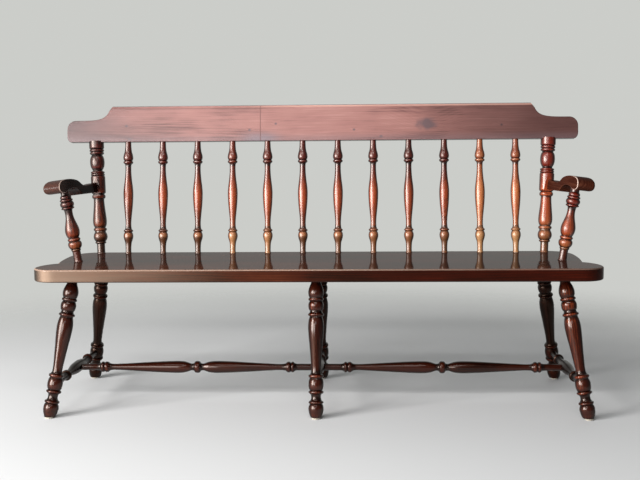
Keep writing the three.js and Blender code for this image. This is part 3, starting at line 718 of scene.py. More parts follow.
def arm_sheen(tree, shader):
    """The roll is glossy, most of all on the darker arm; the flat inner side is dull."""
    gloss = both(tree, ranged(tree, attribute(tree, "proud"), *ARM_COAT_BY_PROUD),
                 ranged(tree, attribute(tree, "tone"), *ARM_COAT_BY_TONE))
    feed(tree, shader, {"Coat Weight": gloss})


# Turnings: their stain, and where its colour changes, as shares of a piece's height
TURNED_COLOURS = (srgb(42, 10, 4), srgb(164, 88, 50), srgb(222, 150, 92))
LEG_COLOURS = (srgb(10, 2, 1), srgb(46, 12, 4), srgb(150, 66, 34))
STEM_TOP, BALL_TOP, FOOT_FADE = (0.13, 0.16), (0.172, 0.19), (0.1, 0.3)
COPPER_FADE, NECK_FADE, MAROON_FADE = (0.12, 0.42), (0.28, 0.48, 0.85), (0.5, 0.76)
UMBER_STRENGTH, ARM_STEM_STRENGTH = 0.5, 0.9
COPPER, UMBER, GOLD = srgb(240, 196, 176), srgb(112, 80, 52), srgb(190, 146, 98)
# Painted shade for the low stems and the spindles' necks; the dark shade is for darker-stained pieces
STEM_PAINTED_SHADE, NECK_PAINTED_SHADE, DARK_SHADE = srgb(150, 142, 136), srgb(128, 110, 118), srgb(176, 150, 160)
SPINDLE_MAROON, POST_MAROON, ARM_STEM_RED = srgb(134, 102, 122), srgb(176, 116, 116), srgb(68, 22, 11)

# Which turnings a colour is for: by the tone of the piece, and by its place on the bench
COPPER_BY_TONE, MAROON_BY_TONE = (0.05, 0.3, 1.0, 0.25), (0.05, 0.3, 1.0, 0.5)
GOLD_BY_TONE, SHADE_BY_TONE = (-0.1, 0.3, 0.05, 0.6), (0.03, 0.12, 1.0, 0.5)
STEM_TONES, DARK_TONES = (0.03, 0.1), (-0.4, -0.1, 0.7)
SPINDLES_WITHIN = (0.66, 0.7)
# Where the painted shade on low stems and necks is strongest: to the left, and on darker-toned pieces
SHADE_BY_PLACE = (-0.05, 0.2, 1.0, 0.4)
ARM_POSTS_BEFORE = (0.03, 0.08)

# How turnings are darkened towards their outline, partly with painted shade, and their gloss
LEG_RIM_SHADE, TURNED_RIM_SHADE = srgb(120, 84, 76), srgb(96, 62, 60)
TURNED_COAT = 0.6
COAT_BY_FACING = (0.15, 0.6, 1.0, 0.15)
COAT_BY_TONE = (-0.34, -0.08, 0.1, TURNED_COAT)


def leg_tint(tree, colour):
    # Legs are darkened towards their outline, partly with painted shade
    return darkened_outline(tree, colour, LEG_RIM_SHADE)


def turned_tint(tree, colour):
    """Turnings are golden at the foot, copper above it and maroon at the top, with painted shade on the low
    stem and on the spindles' necks.
    """
    rise, tone, across = attribute(tree, "rise"), attribute(tree, "tone"), on_bench(tree, "X")
    spindles = falling(tree, calculate(tree, "ABSOLUTE", across), *SPINDLES_WITHIN)
    copper = both(tree, ranged(tree, rise, *COPPER_FADE), ranged(tree, tone, *COPPER_BY_TONE))
    colour = shaded(tree, copper, colour, COPPER)
    colour = mixed(tree, falling(tree, rise, *FOOT_FADE, UMBER_STRENGTH), colour, UMBER)
    gold = both(tree, falling(tree, rise, *FOOT_FADE), ranged(tree, tone, *GOLD_BY_TONE))
    colour = mixed(tree, gold, colour, GOLD)
    # Painted shade on the low stem, strongest to the left
    painted_shade = both(tree, ranged(tree, across, *SHADE_BY_PLACE), ranged(tree, tone, *SHADE_BY_TONE))
    stem = both(tree, falling(tree, rise, *STEM_TOP), falling(tree, tone, *STEM_TONES), painted_shade)
    colour = shaded(tree, stem, colour, STEM_PAINTED_SHADE)
    # Painted shade on the spindles' necks
    neck = both(tree, ranged(tree, rise, *BALL_TOP), falling(tree, rise, *NECK_FADE), spindles, painted_shade)
    colour = shaded(tree, neck, colour, NECK_PAINTED_SHADE)
    colour = shaded(tree, falling(tree, tone, *DARK_TONES), colour, DARK_SHADE)
    maroon = both(tree, ranged(tree, rise, *MAROON_FADE), ranged(tree, tone, *MAROON_BY_TONE))
    colour = shaded(tree, maroon, colour, mixed(tree, spindles, POST_MAROON, SPINDLE_MAROON))
    arm_stem = both(tree, falling(tree, on_bench(tree, "Y"), *ARM_POSTS_BEFORE),
                    falling(tree, rise, *STEM_TOP, ARM_STEM_STRENGTH))
    colour = mixed(tree, arm_stem, colour, ARM_STEM_RED)
    # Darkened towards the outline, partly with painted shade
    return darkened_outline(tree, colour, TURNED_RIM_SHADE)


def turned_sheen(tree, shader):
    """Turnings are glossy, less so towards their outline, and the ones with the darkest stain are dull."""
    gloss = both(tree, ranged(tree, turned_away(tree), *COAT_BY_FACING),
                 ranged(tree, attribute(tree, "tone"), *COAT_BY_TONE))
    feed(tree, shader, {"Coat Weight": gloss})


# Bare dowels and plastic glides
DOWEL_DARK, DOWEL_LIGHT, DOWEL_ROUGHNESS = srgb(176, 132, 86), srgb(214, 178, 130), (0.65, 0.8)
DOWEL_RING_WIDTH = 0.002
PLASTIC, SCUFFED_PLASTIC, PLASTIC_ROUGHNESS = srgb(196, 190, 176), srgb(150, 141, 124), (0.35, 0.6)
SCUFF_SCALE, SCUFF_FADE, SCUFF_STRENGTH = 420.0, (0.42, 0.68), 0.3


def bare_wood():
    material, tree, shader = new_material("bare_dowel_wood")
    place = add(tree, "ShaderNodeTexCoord").outputs["Object"]
    grain = add(tree, "ShaderNodeGroup", {
        "Place": place, "Ring Width": DOWEL_RING_WIDTH,
    }, node_tree=GRAIN).outputs
    feed(tree, shader, {
        "Base Color": mixed(tree, grain["Fibres"], DOWEL_DARK, DOWEL_LIGHT),
        "Roughness": ranged(tree, grain["Rings"], 0.0, 1.0, *DOWEL_ROUGHNESS)})
    return material


def glide_plastic():
    """Pale plastic, scuffed in patches that are darker and rougher."""
    material, tree, shader = new_material("glide_plastic")
    place = add(tree, "ShaderNodeTexCoord").outputs["Object"]
    scuffs = ranged(tree, noise(tree, place, SCUFF_SCALE, 4.0), *SCUFF_FADE)
    bump = add(tree, "ShaderNodeBump", {
        "Height": scuffs, "Strength": SCUFF_STRENGTH, "Distance": BUMP_DISTANCE})
    feed(tree, shader, {
        "Base Color": mixed(tree, scuffs, PLASTIC, SCUFFED_PLASTIC),
        "Roughness": ranged(tree, scuffs, 0.0, 1.0, *PLASTIC_ROUGHNESS),
        "Normal": bump.outputs["Normal"]})
    return material


PALE_HAZE, COPPER_HAZE, RED_HAZE = (1.0, 0.96, 0.95, 1), (1.0, 0.87, 0.8, 1), (1.0, 0.55, 0.36, 1)
MATERIALS = {
    "crest": wood("crest_stain", CREST_COLOURS, pith=(-0.03, 0.055, 0), ring_width=0.0062, wander=0.05,
                  ring_depth=0.08, matt=0.36, tint=crest_tint, knots=CREST_KNOTS,
                  finish=varnish(0.4, PALE_HAZE, coat=0.5, coat_roughness=0.25)),
    "seat": wood("seat_stain", SEAT_COLOURS, pith=(0.1, -0.07, 0), ring_width=0.0075, wander=0.05,
                 ring_depth=0.25, matt=0.4, tint=seat_tint, sheen=seat_sheen,
                 finish=varnish(0.2, RED_HAZE, coat=SEAT_TOP_COAT, coat_roughness=0.06)),
    "back_turnings": wood("turned_stain", TURNED_COLOURS, pith=(0.05, 0.04, 0), ring_width=0.0034,
                          wander=0.02, ring_depth=0.14, matt=0.3, tint=turned_tint, sheen=turned_sheen,
                          figure=0.35,
                          finish=varnish(0.7, COPPER_HAZE, coat=TURNED_COAT, coat_roughness=0.2)),
    "legs": wood("leg_stain", LEG_COLOURS, pith=(0.05, 0.04, 0), ring_width=0.0036, wander=0.02,
                 ring_depth=0.14, matt=0.26, tint=leg_tint, sheen=turned_sheen, figure=0.6,
                 finish=varnish(0.2, RED_HAZE, coat=TURNED_COAT, coat_roughness=0.13)),
    "arms": wood("arm_stain", ARM_COLOURS, pith=(0.05, 0.04, 0), ring_width=0.0042, wander=0.02,
                 ring_depth=0.16, matt=0.34, tint=arm_tint, sheen=arm_sheen, figure=0.4,
                 finish=varnish(0.0, COPPER_HAZE, coat=0.25, coat_roughness=0.2)),
    "dowels": bare_wood(),
    "glides": glide_plastic(),
}

# How light each piece took the stain: over 0 is lighter and warmer, under 0 darker; the rear legs' low tone
# is partly painted shade under the seat
PIECE_TONES_AND_SHADE = {
    "spindle_01": -0.06, "spindle_02": 0.02, "spindle_03": -0.02, "spindle_04": 0.12, "spindle_05": 0.1,
    "spindle_06": 0.02, "spindle_07": 0.02, "spindle_08": -0.02, "spindle_09": -0.08, "spindle_10": -0.14,
    "spindle_11": 0.28, "spindle_12": 0.22, "back_post_left": -0.34, "back_post_right": -0.06,
    "arm_left": -0.3, "arm_right": 0.14, "arm_post_left": -0.3, "arm_post_right": -0.14,
    "leg_front_left": -0.12, "leg_front_right": 0.02, "leg_front_centre": -0.06, "leg_rear_left": -0.4,
    "leg_rear_centre": -0.4, "leg_rear_right": -0.4, "cross_stretcher_left": -0.35,
    "cross_stretcher_centre": -0.35, "cross_stretcher_right": -0.35, "long_stretcher_left": -0.1,
    "long_stretcher_right": -0.14,
}


# Pieces: the angles from which an edge looks sharp, and how near points count as one, or as on a flat
SHARP_ANGLE = math.radians(38)
FLAT_SHARP_ANGLE = math.radians(30)
SAME_WITHIN = 1e-6
ON_FLAT_WITHIN = 1e-5

# Rims and grooves: the share of a rim's curve left out at each side, and how far and how deep a groove is
# looked for
RIM_MARGIN = 0.05
GROOVE_WINDOW = 0.012
GROOVE_DEPTH = 0.004

# Where a piece's grain starts in the log, along each axis: a step, and the number of steps there are
GRAIN_SHIFTS = ((0.013, 7), (0.011, 11), (0.173, 29))


def new_object(name, data):
    made = bpy.data.objects.new(name, data)
    bpy.context.scene.collection.objects.link(made)
    return made


def finish_piece(bm, name, node, slot):
    """A mesh that stands for a node of the frame, in its place in the bench."""
    mesh = bpy.data.meshes.new(name)
    bm.to_mesh(mesh)
    bm.free()
    mesh.shade_smooth()
    mesh.set_sharp_from_angle(angle=SHARP_ANGLE)
    mesh.materials.append(MATERIALS[slot])
    piece = new_object(name, mesh)
    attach(piece, "root")
    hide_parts(node)
    return piece


def even_shading(piece):
    """Shades broad faces flat, and keeps the curve to their softened rims."""
    piece.modifiers.new("even_shading", "WEIGHTED_NORMAL").keep_sharp = True


def offset_of(node):
    """A start for a piece's grain, so that no two look alike; the crest rail's knots need it unmoved."""
    if node.startswith("crest"):
        return Vector()
    number = sum((index + 1) * ord(letter) for index, letter in enumerate(node))
    return Vector([step * (number % count) for step, count in GRAIN_SHIFTS])


def proud_of(outline):
    """How far each point of a profile stands out from its surroundings: 0 in a groove, 1 on a crown."""
    values = []
    for radius, height in outline:
        near = [other for other, place in outline if abs(place - height) <= GROOVE_WINDOW]
        values.append(min(1.0, max(0.0, 0.5 + (radius - sum(near) / len(near)) / GROOVE_DEPTH)))
    return values


def grain_layers(bm, node, turn, length=1.0):
    """Where each point lies in the wood, with Z along the grain, its rise up the piece, and the tone."""
    grain_layer = bm.verts.layers.float_vector.new("grain")
    rise_layer = bm.verts.layers.float.new("rise")
    tone_layer = bm.verts.layers.float.new("tone")
    start = offset_of(node)
    for vert in bm.verts:
        along = turn(vert.co)
        vert[grain_layer] = along + start
        vert[rise_layer] = along.z / length
        vert[tone_layer] = PIECE_TONES_AND_SHADE.get(node, 0.0)


def spun(outline, proud=()):
    """A round solid from radii and heights that start and end on its axis, and how proud each is."""
    bm = bmesh.new()
    proud_layer = bm.verts.layers.float.new("proud")
    verts = [bm.verts.new((radius, 0, height)) for radius, height in outline]
    for vert, share in zip(verts, proud):
        vert[proud_layer] = share
    edges = [bm.edges.new(pair) for pair in zip(verts, verts[1:])]
    bmesh.ops.spin(bm, geom=verts + edges, cent=(0, 0, 0), axis=(0, 0, 1), angle=2 * math.pi,
                   steps=TURNED_SIDES, use_merge=True)
    bmesh.ops.remove_doubles(bm, verts=bm.verts, dist=SAME_WITHIN)
    bmesh.ops.recalc_face_normals(bm, faces=bm.faces)
    return bm


def turned(node, shares, foot, head, diameter, slot, foot_depth, head_depth):
    """A lathe-turned piece: its profile spun round its axis, then stood from its foot to its head."""
    length = (head - foot).length
    outline = [(across * diameter / 2, along * length) for along, across in shares]
    bottom, top = -foot_depth, length + head_depth
    outline = [(outline[0][0], bottom), *outline, (outline[-1][0], top)]
    bm = spun([(0, bottom), *outline, (0, top)], [0.0, *proud_of(outline), 0.0])
    grain_layers(bm, node, lambda co: co, length)
    lean = (head - foot).to_track_quat("Z", "Y").to_matrix().to_4x4()
    bmesh.ops.transform(bm, matrix=Matrix.Translation(foot) @ lean, verts=bm.verts)
    return finish_piece(bm, f"{node}_turned", node, slot)


def mirrored_outline(right):
    return right + [Vector((-point.x, point.y)) for point in reversed(right)]


def arc(centre, radius, start, end):
    angles = [start + (end - start) * step / CURVE_STEPS for step in range(CURVE_STEPS + 1)]
    return [centre + radius * Vector((math.cos(angle), math.sin(angle))) for angle in angles]


def bezier(*points):
    flat = [Vector((x, y, 0)) for x, y in points]
    return [Vector((point.x, point.y)) for point in interpolate_bezier(*flat, CURVE_STEPS)][1:]


def slab(outline, thickness):
    """An outline in X and Y, thickened along +Z."""
    bm = bmesh.new()
    verts = [bm.verts.new((point.x, point.y, 0)) for point in outline]
    face = bm.faces.new(verts)
    grown = bmesh.ops.extrude_face_region(bm, geom=[face])
    raised = [item for item in grown["geom"] if isinstance(item, bmesh.types.BMVert)]
    bmesh.ops.translate(bm, vec=(0, 0, thickness), verts=raised)
    bmesh.ops.recalc_face_normals(bm, faces=bm.faces)
    return bm


def soften(bm, edges, width, segments):
    bmesh.ops.bevel(bm, geom=edges, offset=width, offset_type="OFFSET", segments=segments, profile=0.5,
                    affect="EDGES", material=-1, clamp_overlap=True)


def rim_edges(bm, thickness):
    """The edges round the two flat faces of a slab."""
    def flat(edge):
        heights = {round(vert.co.z, 6) for vert in edge.verts}
        return len(heights) == 1 and heights <= {0.0, round(thickness, 6)}
    return [edge for edge in bm.edges if flat(edge)]


def cut_across(bm, place, normal, clear=False):
    """Adds edges where a plane meets a mesh, and with clear takes away what lies before it."""
    everything = [*bm.verts, *bm.edges, *bm.faces]
    return bmesh.ops.bisect_plane(bm, geom=everything, dist=SAME_WITHIN, plane_co=place, plane_no=normal,
                                  clear_outer=clear)["geom_cut"]


def kept_side(bm, place, normal):
    """Cuts a mesh through a plane, keeps what is behind it, and closes the cut."""
    cut = cut_across(bm, place, normal, clear=True)
    bmesh.ops.edgeloop_fill(bm, edges=[item for item in cut if isinstance(item, bmesh.types.BMEdge)])
    bmesh.ops.recalc_face_normals(bm, faces=bm.faces)


def mark_rims(bm, thickness, width):
    """A slab's upper rim stands proud, and its lower rim takes painted shadow."""
    proud_layer = bm.verts.layers.float.new("proud")
    side_layer = bm.verts.layers.float.new("side")
    for vert in bm.verts:
        depth = min(vert.co.z, thickness - vert.co.z)
        rim = 1.0 if vert.co.z > thickness / 2 else 0.0
        vert[proud_layer] = rim if RIM_MARGIN * width < depth < (1 - RIM_MARGIN) * width else 0.5
        vert[side_layer] = min(1.0, depth / width)


def seat_outline():
    """Both boards' outline in one: ears in front, nicks at the glue line, and lobes behind."""
    nick = Vector((SEAT_END - NICK_INSET, GLUE_LINE - NICK_DEPTH))
    lobe_start = SEAT_REAR - REAR_CORNER_DEPTH
    ear_middle = (SEAT_FRONT + EAR_CORNER + nick.y) / 2
    ear_corner = Vector((SEAT_END - EAR_CORNER, SEAT_FRONT + EAR_CORNER))
    right = arc(ear_corner, EAR_CORNER, -math.pi / 2, 0)
    right += bezier((SEAT_END, SEAT_FRONT + EAR_CORNER), (SEAT_END, ear_middle),
                    ((SEAT_END + nick.x) / 2, nick.y - NICK_DEPTH), nick)
    tip = Vector((LOBE_END - LOBE_TIP_INSET, GLUE_LINE))
    side = Vector((LOBE_END, lobe_start))
    bulge = Vector((LOBE_END, (GLUE_LINE + lobe_start) / 2))
    right += [tip]
    right += bezier(tip, tip.lerp(bulge, 2 / 3), side.lerp(bulge, 2 / 3), side)
    right += bezier(side, (LOBE_END, SEAT_REAR - REAR_CORNER_DEPTH / 2),
                    (LOBE_END - REAR_CORNER_LENGTH / 4, SEAT_REAR),
                    (LOBE_END - REAR_CORNER_LENGTH, SEAT_REAR))
    return mirrored_outline(right)


def seat_board(node, plane_y, normal_y):
    thickness = SEAT_TOP - SEAT_UNDERSIDE
    bm = slab(seat_outline(), thickness)
    soften(bm, rim_edges(bm, thickness), SEAT_EDGE_ROUND, EDGE_STEPS)
    mark_rims(bm, thickness, SEAT_EDGE_ROUND)
    bmesh.ops.translate(bm, vec=(0, 0, SEAT_UNDERSIDE), verts=bm.verts)
    kept_side(bm, (0, plane_y, 0), (0, normal_y, 0))
    grain_layers(bm, node, lambda co: Vector((co.y, co.z, co.x)))
    even_shading(finish_piece(bm, f"{node}_planed", node, "seat"))


seat_board("seat_front_board", GLUE_LINE - GLUE_GAP / 2, 1)
seat_board("seat_rear_board", GLUE_LINE + GLUE_GAP / 2, -1)


# Legs and their glides
def add_leg(row, column, end):
    name = f"{row}_{column}"
    low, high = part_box(f"glide_{name}")
    from_end, from_front = LEG_HEADS[row]
    foot = Vector(((low.x + high.x) / 2, (low.y + high.y) / 2, 0))
    head = Vector((end * (SEAT_END - from_end), SEAT_FRONT + from_front, SEAT_UNDERSIDE))
    leg = turned(f"leg_{name}", LEG_SHARES, foot, head, LEG_DIAMETER, "legs", 0, LEG_IN_SEAT)
    add_glide(f"glide_{name}", foot, (high.x - low.x) / 2)
    level_foot(leg)
    return foot, head


def add_glide(node, foot, radius):
    bm = spun([(0, 0), (radius - GLIDE_RIM, 0), (radius - GLIDE_RIM / 3, GLIDE_RIM / 3), (radius, GLIDE_RIM),
               (radius, GLIDE_HEIGHT), (0, GLIDE_HEIGHT)])
    bmesh.ops.translate(bm, vec=foot, verts=bm.verts)
    finish_piece(bm, f"{node}_moulded", node, "glides")


def level_foot(piece):
    """Cuts a leg level, just over its glide."""
    bm = bmesh.new()
    bm.from_mesh(piece.data)
    kept_side(bm, (0, 0, GLIDE_HEIGHT), (0, 0, -1))
    bm.to_mesh(piece.data)
    bm.free()
    piece.data.set_sharp_from_angle(angle=SHARP_ANGLE)


def add_stretcher(node, shares, start, end, diameter):
    """A stretcher between two points on the axes of what it joins, which it stops short of."""
    web = (end - start).normalized() * STRETCHER_WEB
    turned(node, shares, start + web, end - web, diameter, "legs", 0, 0)
    return (start + end) / 2


joints = {}
for row in LEG_HEADS:
    for column, end in COLUMNS:
        foot, head = add_leg(row, column, end)
        joints[row, column] = foot.lerp(head, STRETCHER_HEIGHT / SEAT_UNDERSIDE)

middles = {}
for column, _ in COLUMNS:
    middles[column] = add_stretcher(f"cross_stretcher_{column}", CROSS_STRETCHER_SHARES,
                                    joints["front", column], joints["rear", column],
                                    CROSS_STRETCHER_DIAMETER)
for column, _ in ENDS:
    add_stretcher(f"long_stretcher_{column}", LONG_STRETCHER_SHARES, middles[column], middles["centre"],
                  LONG_STRETCHER_DIAMETER)

# The back's own leaning frame, on the seat
BACK = (Matrix.Translation((0, SEAT_REAR - BACK_LINE_FROM_REAR, SEAT_TOP))
        @ Matrix.Rotation(-BACK_RAKE, 4, "X"))
CREST = BACK @ Matrix.Translation((0, 0, CREST_OVER_SEAT))


def crest_outline():
    """The crest rail from the front, over its lower edge: round ends, ogee steps and a raised middle."""
    crown = Vector((CREST_END - CROWN_FROM_END, CREST_CROWN))
    ogee = crown + Vector((OGEE_STEP, -OGEE_DROP))
    corner = Vector((CREST_END - CREST_UPPER_CORNER, CREST_SHOULDER - CREST_UPPER_CORNER))
    low_start = Vector((CREST_END - CREST_LOWER_CORNER_LENGTH, 0))
    low_bend = Vector((CREST_END, CREST_LOWER_CORNER_HEIGHT / 4))
    low_end = Vector((CREST_END, CREST_LOWER_CORNER_HEIGHT))
    right = [low_start]
    right += bezier(low_start, low_start.lerp(low_bend, 2 / 3), low_end.lerp(low_bend, 2 / 3), low_end)
    right += arc(corner, CREST_UPPER_CORNER, 0, math.pi / 2)
    right += bezier((corner.x, CREST_SHOULDER), (CREST_END - OGEE_FOOT_FROM_END, CREST_SHOULDER),
                    (ogee.x + OGEE_STEP, CREST_SHOULDER), ogee)
    right += [crown]
    return mirrored_outline(right)


def crest_board(node, plane_x, normal_x):
    def at_crown(vert):
        return abs(vert.co.z - CREST_THICKNESS) < SAME_WITHIN and abs(vert.co.y - CREST_CROWN) < SAME_WITHIN
    bm = slab(crest_outline(), CREST_THICKNESS)
    crown_edges = [edge for edge in rim_edges(bm, CREST_THICKNESS) if all(map(at_crown, edge.verts))]
    soften(bm, crown_edges, CROWN_BEVEL, CROWN_BEVEL_STEPS)
    soften(bm, rim_edges(bm, CREST_THICKNESS), CREST_EDGE_ROUND, EDGE_STEPS)
    mark_rims(bm, CREST_THICKNESS, CREST_EDGE_ROUND)
    stand = Matrix.Translation((0, CREST_THICKNESS / 2, 0)) @ Matrix.Rotation(math.pi / 2, 4, "X")
    bmesh.ops.transform(bm, matrix=stand, verts=bm.verts)
    kept_side(bm, (plane_x, 0, 0), (normal_x, 0, 0))
    grain_layers(bm, node, lambda co: Vector((co.z, co.y, co.x)))
    bmesh.ops.transform(bm, matrix=CREST, verts=bm.verts)
    even_shading(finish_piece(bm, f"{node}_planed", node, "crest"))


crest_board("crest_rail_left", CREST_SEAM - GLUE_GAP / 2, 1)
crest_board("crest_rail_right", CREST_SEAM + GLUE_GAP / 2, -1)

# Spindles and back posts
for index in range(SPINDLE_COUNT):
    along = (index / (SPINDLE_COUNT - 1) - 1 / 2) * 2 * (POST_FOOT_X - SPINDLE_FROM_POST)
    turned(f"spindle_{index + 1:02d}", SPINDLE_SHARES, BACK @ Vector((along, 0, 0)),
           BACK @ Vector((along, 0, CREST_OVER_SEAT)), SPINDLE_DIAMETER, "back_turnings", FOOT_IN_SEAT,
           HEAD_IN_CREST)


def flatten_post(piece, arm_place):
    """Planes the flat on a back post that the arm's end lies against."""
    bm = bmesh.new()
    bm.from_mesh(piece.data)
    to_arm = arm_place.inverted()
    turn = arm_place.to_3x3()
    low, high = -FLAT_UNDER_ARM, ARM_REAR_HEIGHT + FLAT_OVER_ARM
    for height in (low - FLAT_RAMP, low, high, high + FLAT_RAMP):
        cut_across(bm, arm_place @ Vector((0, 0, height)), turn @ Vector((0, 0, 1)))
    cut_across(bm, arm_place @ Vector((0, ARM_TO_FLAT, 0)), turn @ Vector((0, 1, 0)))
    for vert in bm.verts:
        seen = to_arm @ vert.co
        if low - ON_FLAT_WITHIN < seen.z < high + ON_FLAT_WITHIN and seen.y < ARM_TO_FLAT:
            vert.co = arm_place @ Vector((seen.x, ARM_TO_FLAT, seen.z))
    bm.to_mesh(piece.data)
    bm.free()
    piece.data.set_sharp_from_angle(angle=FLAT_SHARP_ANGLE)


def nearest_on(path, point):
    """The point of a path that lies nearest."""
    best = None
    for start, end in zip(path, path[1:]):
        run = end - start
        share = max(0.0, min(1.0, (point - start).dot(run) / run.length_squared))
        found = start + run * share
        if best is None or (found - point).length < (best - point).length:
            best = found
    return best


def arm_mesh(end):
    """A rolled arm, section by section across its width, from the inner side to the outer."""
    shares = curve(*ARM_TOP_SHARES, steps=ARM_STROKE_STEPS)
    shares += curve(*ARM_UNDER_SHARES, steps=ARM_STROKE_STEPS)[1:] + [(0, 0)]
    outline = [Vector((along * ARM_LENGTH, up * ARM_HEIGHT)) for along, up in shares]
    core = [Vector((along * ARM_LENGTH, up * ARM_HEIGHT)) for along, up in ARM_CORE_SHARES]
    inner_rim = [ARM_FLAT_PROUD] + [ARM_RIM_PROUD] * (EDGE_STEPS - 1) + [ARM_ROLL_PROUD]
    sections = []
    for step, proud in enumerate(inner_rim):
        angle = math.pi / 2 * step / EDGE_STEPS
        sections.append((ARM_INNER_ROUND * (1 - math.cos(angle)), ARM_INNER_ROUND * (1 - math.sin(angle)),
                         proud))
    for step in range(2 * EDGE_STEPS + 1):
        angle = math.pi / 2 * step / (2 * EDGE_STEPS)
        sections.append((ARM_WIDTH - ARM_OUTER_ROUND * (1 - math.sin(angle)),
                         ARM_OUTER_ROUND * (1 - math.cos(angle)), ARM_ROLL_PROUD))
    bm = bmesh.new()
    proud_layer = bm.verts.layers.float.new("proud")
    rings = []
    for across, inset, proud in sections:
        ring = []
        for point in outline:
            middle = nearest_on(core, point)
            kept = max(0.0, 1 - inset / (point - middle).length)
            placed = middle + (point - middle) * kept
            width = ARM_REAR_WIDTH + (ARM_WIDTH - ARM_REAR_WIDTH) * placed.x / ARM_LENGTH
            outward = end * (across / ARM_WIDTH - 1 / 2) * width
            ring.append(bm.verts.new((outward, -placed.x, placed.y)))
            ring[-1][proud_layer] = proud
        rings.append([bm.edges.new((ring[i], ring[(i + 1) % len(ring)])) for i in range(len(ring))])
    for first, second in zip(rings, rings[1:]):
        bmesh.ops.bridge_loops(bm, edges=first + second)
    for ring in (rings[0], rings[-1]):
        bmesh.ops.edgeloop_fill(bm, edges=ring)
    bmesh.ops.recalc_face_normals(bm, faces=bm.faces)
    return bm


def add_back_post(column, end):
    """A back post with its flat, and the place of the arm that lies against it."""
    foot = BACK @ Vector((end * POST_FOOT_X, 0, 0))
    head = BACK @ Vector((end * (POST_FOOT_X + POST_HEAD_OUTWARD), 0, CREST_OVER_SEAT))
    post = turned(f"back_post_{column}", POST_SHARES, foot, head, POST_DIAMETER, "back_turnings",
                  FOOT_IN_SEAT, HEAD_IN_CREST)
    on_post = foot.lerp(head, (ARM_OVER_SEAT + ARM_REAR_HEIGHT / 2) / CREST_OVER_SEAT)
    reach = POST_DIAMETER / 2 - POST_FLAT_DEPTH + ARM_TO_FLAT
    arm_place = (Matrix.Translation((on_post.x + end * ARM_OUT_FROM_POST, on_post.y - reach,
                                     SEAT_TOP + ARM_OVER_SEAT))
                 @ Matrix.Rotation(end * ARM_FLARE, 4, "Z") @ Matrix.Rotation(end * ARM_TIP, 4, "Y"))
    flatten_post(post, arm_place)
    return arm_place


def add_arm(column, end, arm_place):
    """An arm and the post under its front."""
    bm = arm_mesh(end)
    grain_layers(bm, f"arm_{column}", lambda co: Vector((co.x, co.z, co.y)))
    bmesh.ops.transform(bm, matrix=arm_place, verts=bm.verts)
    even_shading(finish_piece(bm, f"arm_{column}_carved", f"arm_{column}", "arms"))
    foot = Vector((end * (SEAT_END - ARM_POST_FOOT_FROM_END), SEAT_FRONT + ARM_POST_FOOT_FROM_FRONT,
                   SEAT_TOP))
    head = arm_place @ Vector((0, -ARM_POST_ALONG_SHARE * ARM_LENGTH, ARM_UNDERSIDE_SHARE * ARM_HEIGHT))
    turned(f"arm_post_{column}", ARM_POST_SHARES, foot, head, ARM_POST_DIAMETER, "back_turnings",
           FOOT_IN_SEAT, HEAD_IN_CREST)


for column, end in ENDS:
    add_arm(column, end, add_back_post(column, end))

for node in ("crest_dowel_1", "crest_dowel_2", "arm_dowel_left", "arm_dowel_right"):
    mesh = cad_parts[node].data
    mesh.materials.clear()
    mesh.materials.append(MATERIALS["dowels"])

# Studio: a pale floor that fades into a background, pale behind the bench and dusky before its right end
FLOOR_RADIUS = 14.0
FLOOR_SIDES = 96
FLOOR_COLOUR = (0.74, 0.76, 0.78, 1.0)
FLOOR_ROUGHNESS, FLOOR_GLOSS = 0.8, 0.2
FLOOR_FADE = (1.5, 4.4)
FLOOR_SEEN_FADE = (1.1, 2.7)
PALE_WALL = (0.60, 0.61, 0.585, 1.0)
DUSKY_WALL = (0.15, 0.15, 0.15, 1.0)
DUSK_FROM, DUSK_FADE = (0.75, -0.66, 0), (-0.35, 0.45)
SKY_SHARE = 0.34
REAR_SKY_SHARE = 0.8
REAR_SKY_FADE = (-0.1, 0.8)

# Lamps: place, what they point at, width, height, how bright the face is where 1 is white, and colour
SOFTBOXES = {
    "window_left": ((-3.9, -2.8, 1.5), (-0.1, 0, 0.6), 2.0, 2.8, 21.0, (1.0, 0.97, 0.94)),
    "doorway_left": ((-1.9, -3.7, 1.0), (-0.1, 0, 0.65), 2.0, 1.3, 10.0, (1.0, 0.98, 0.96)),
    "crest_light": ((-0.35, -3.7, 1.8), (-0.1, 0.2, 0.85), 1.6, 0.5, 3.5, (1.0, 0.97, 0.98)),
    "overhead_strip": ((-0.4, -2.2, 2.9), (-0.1, 0, 0.4), 2.6, 0.3, 12.0, (1.0, 0.97, 0.94)),
}


def looked_at(tree):
    """Whether a thing is seen, directly or in a gloss, rather than lit by."""
    rays = add(tree, "ShaderNodeLightPath").outputs
    return calculate(tree, "MAXIMUM", rays["Is Camera Ray"], calculate(
        tree, "MAXIMUM", rays["Is Glossy Ray"], rays["Is Transmission Ray"]))


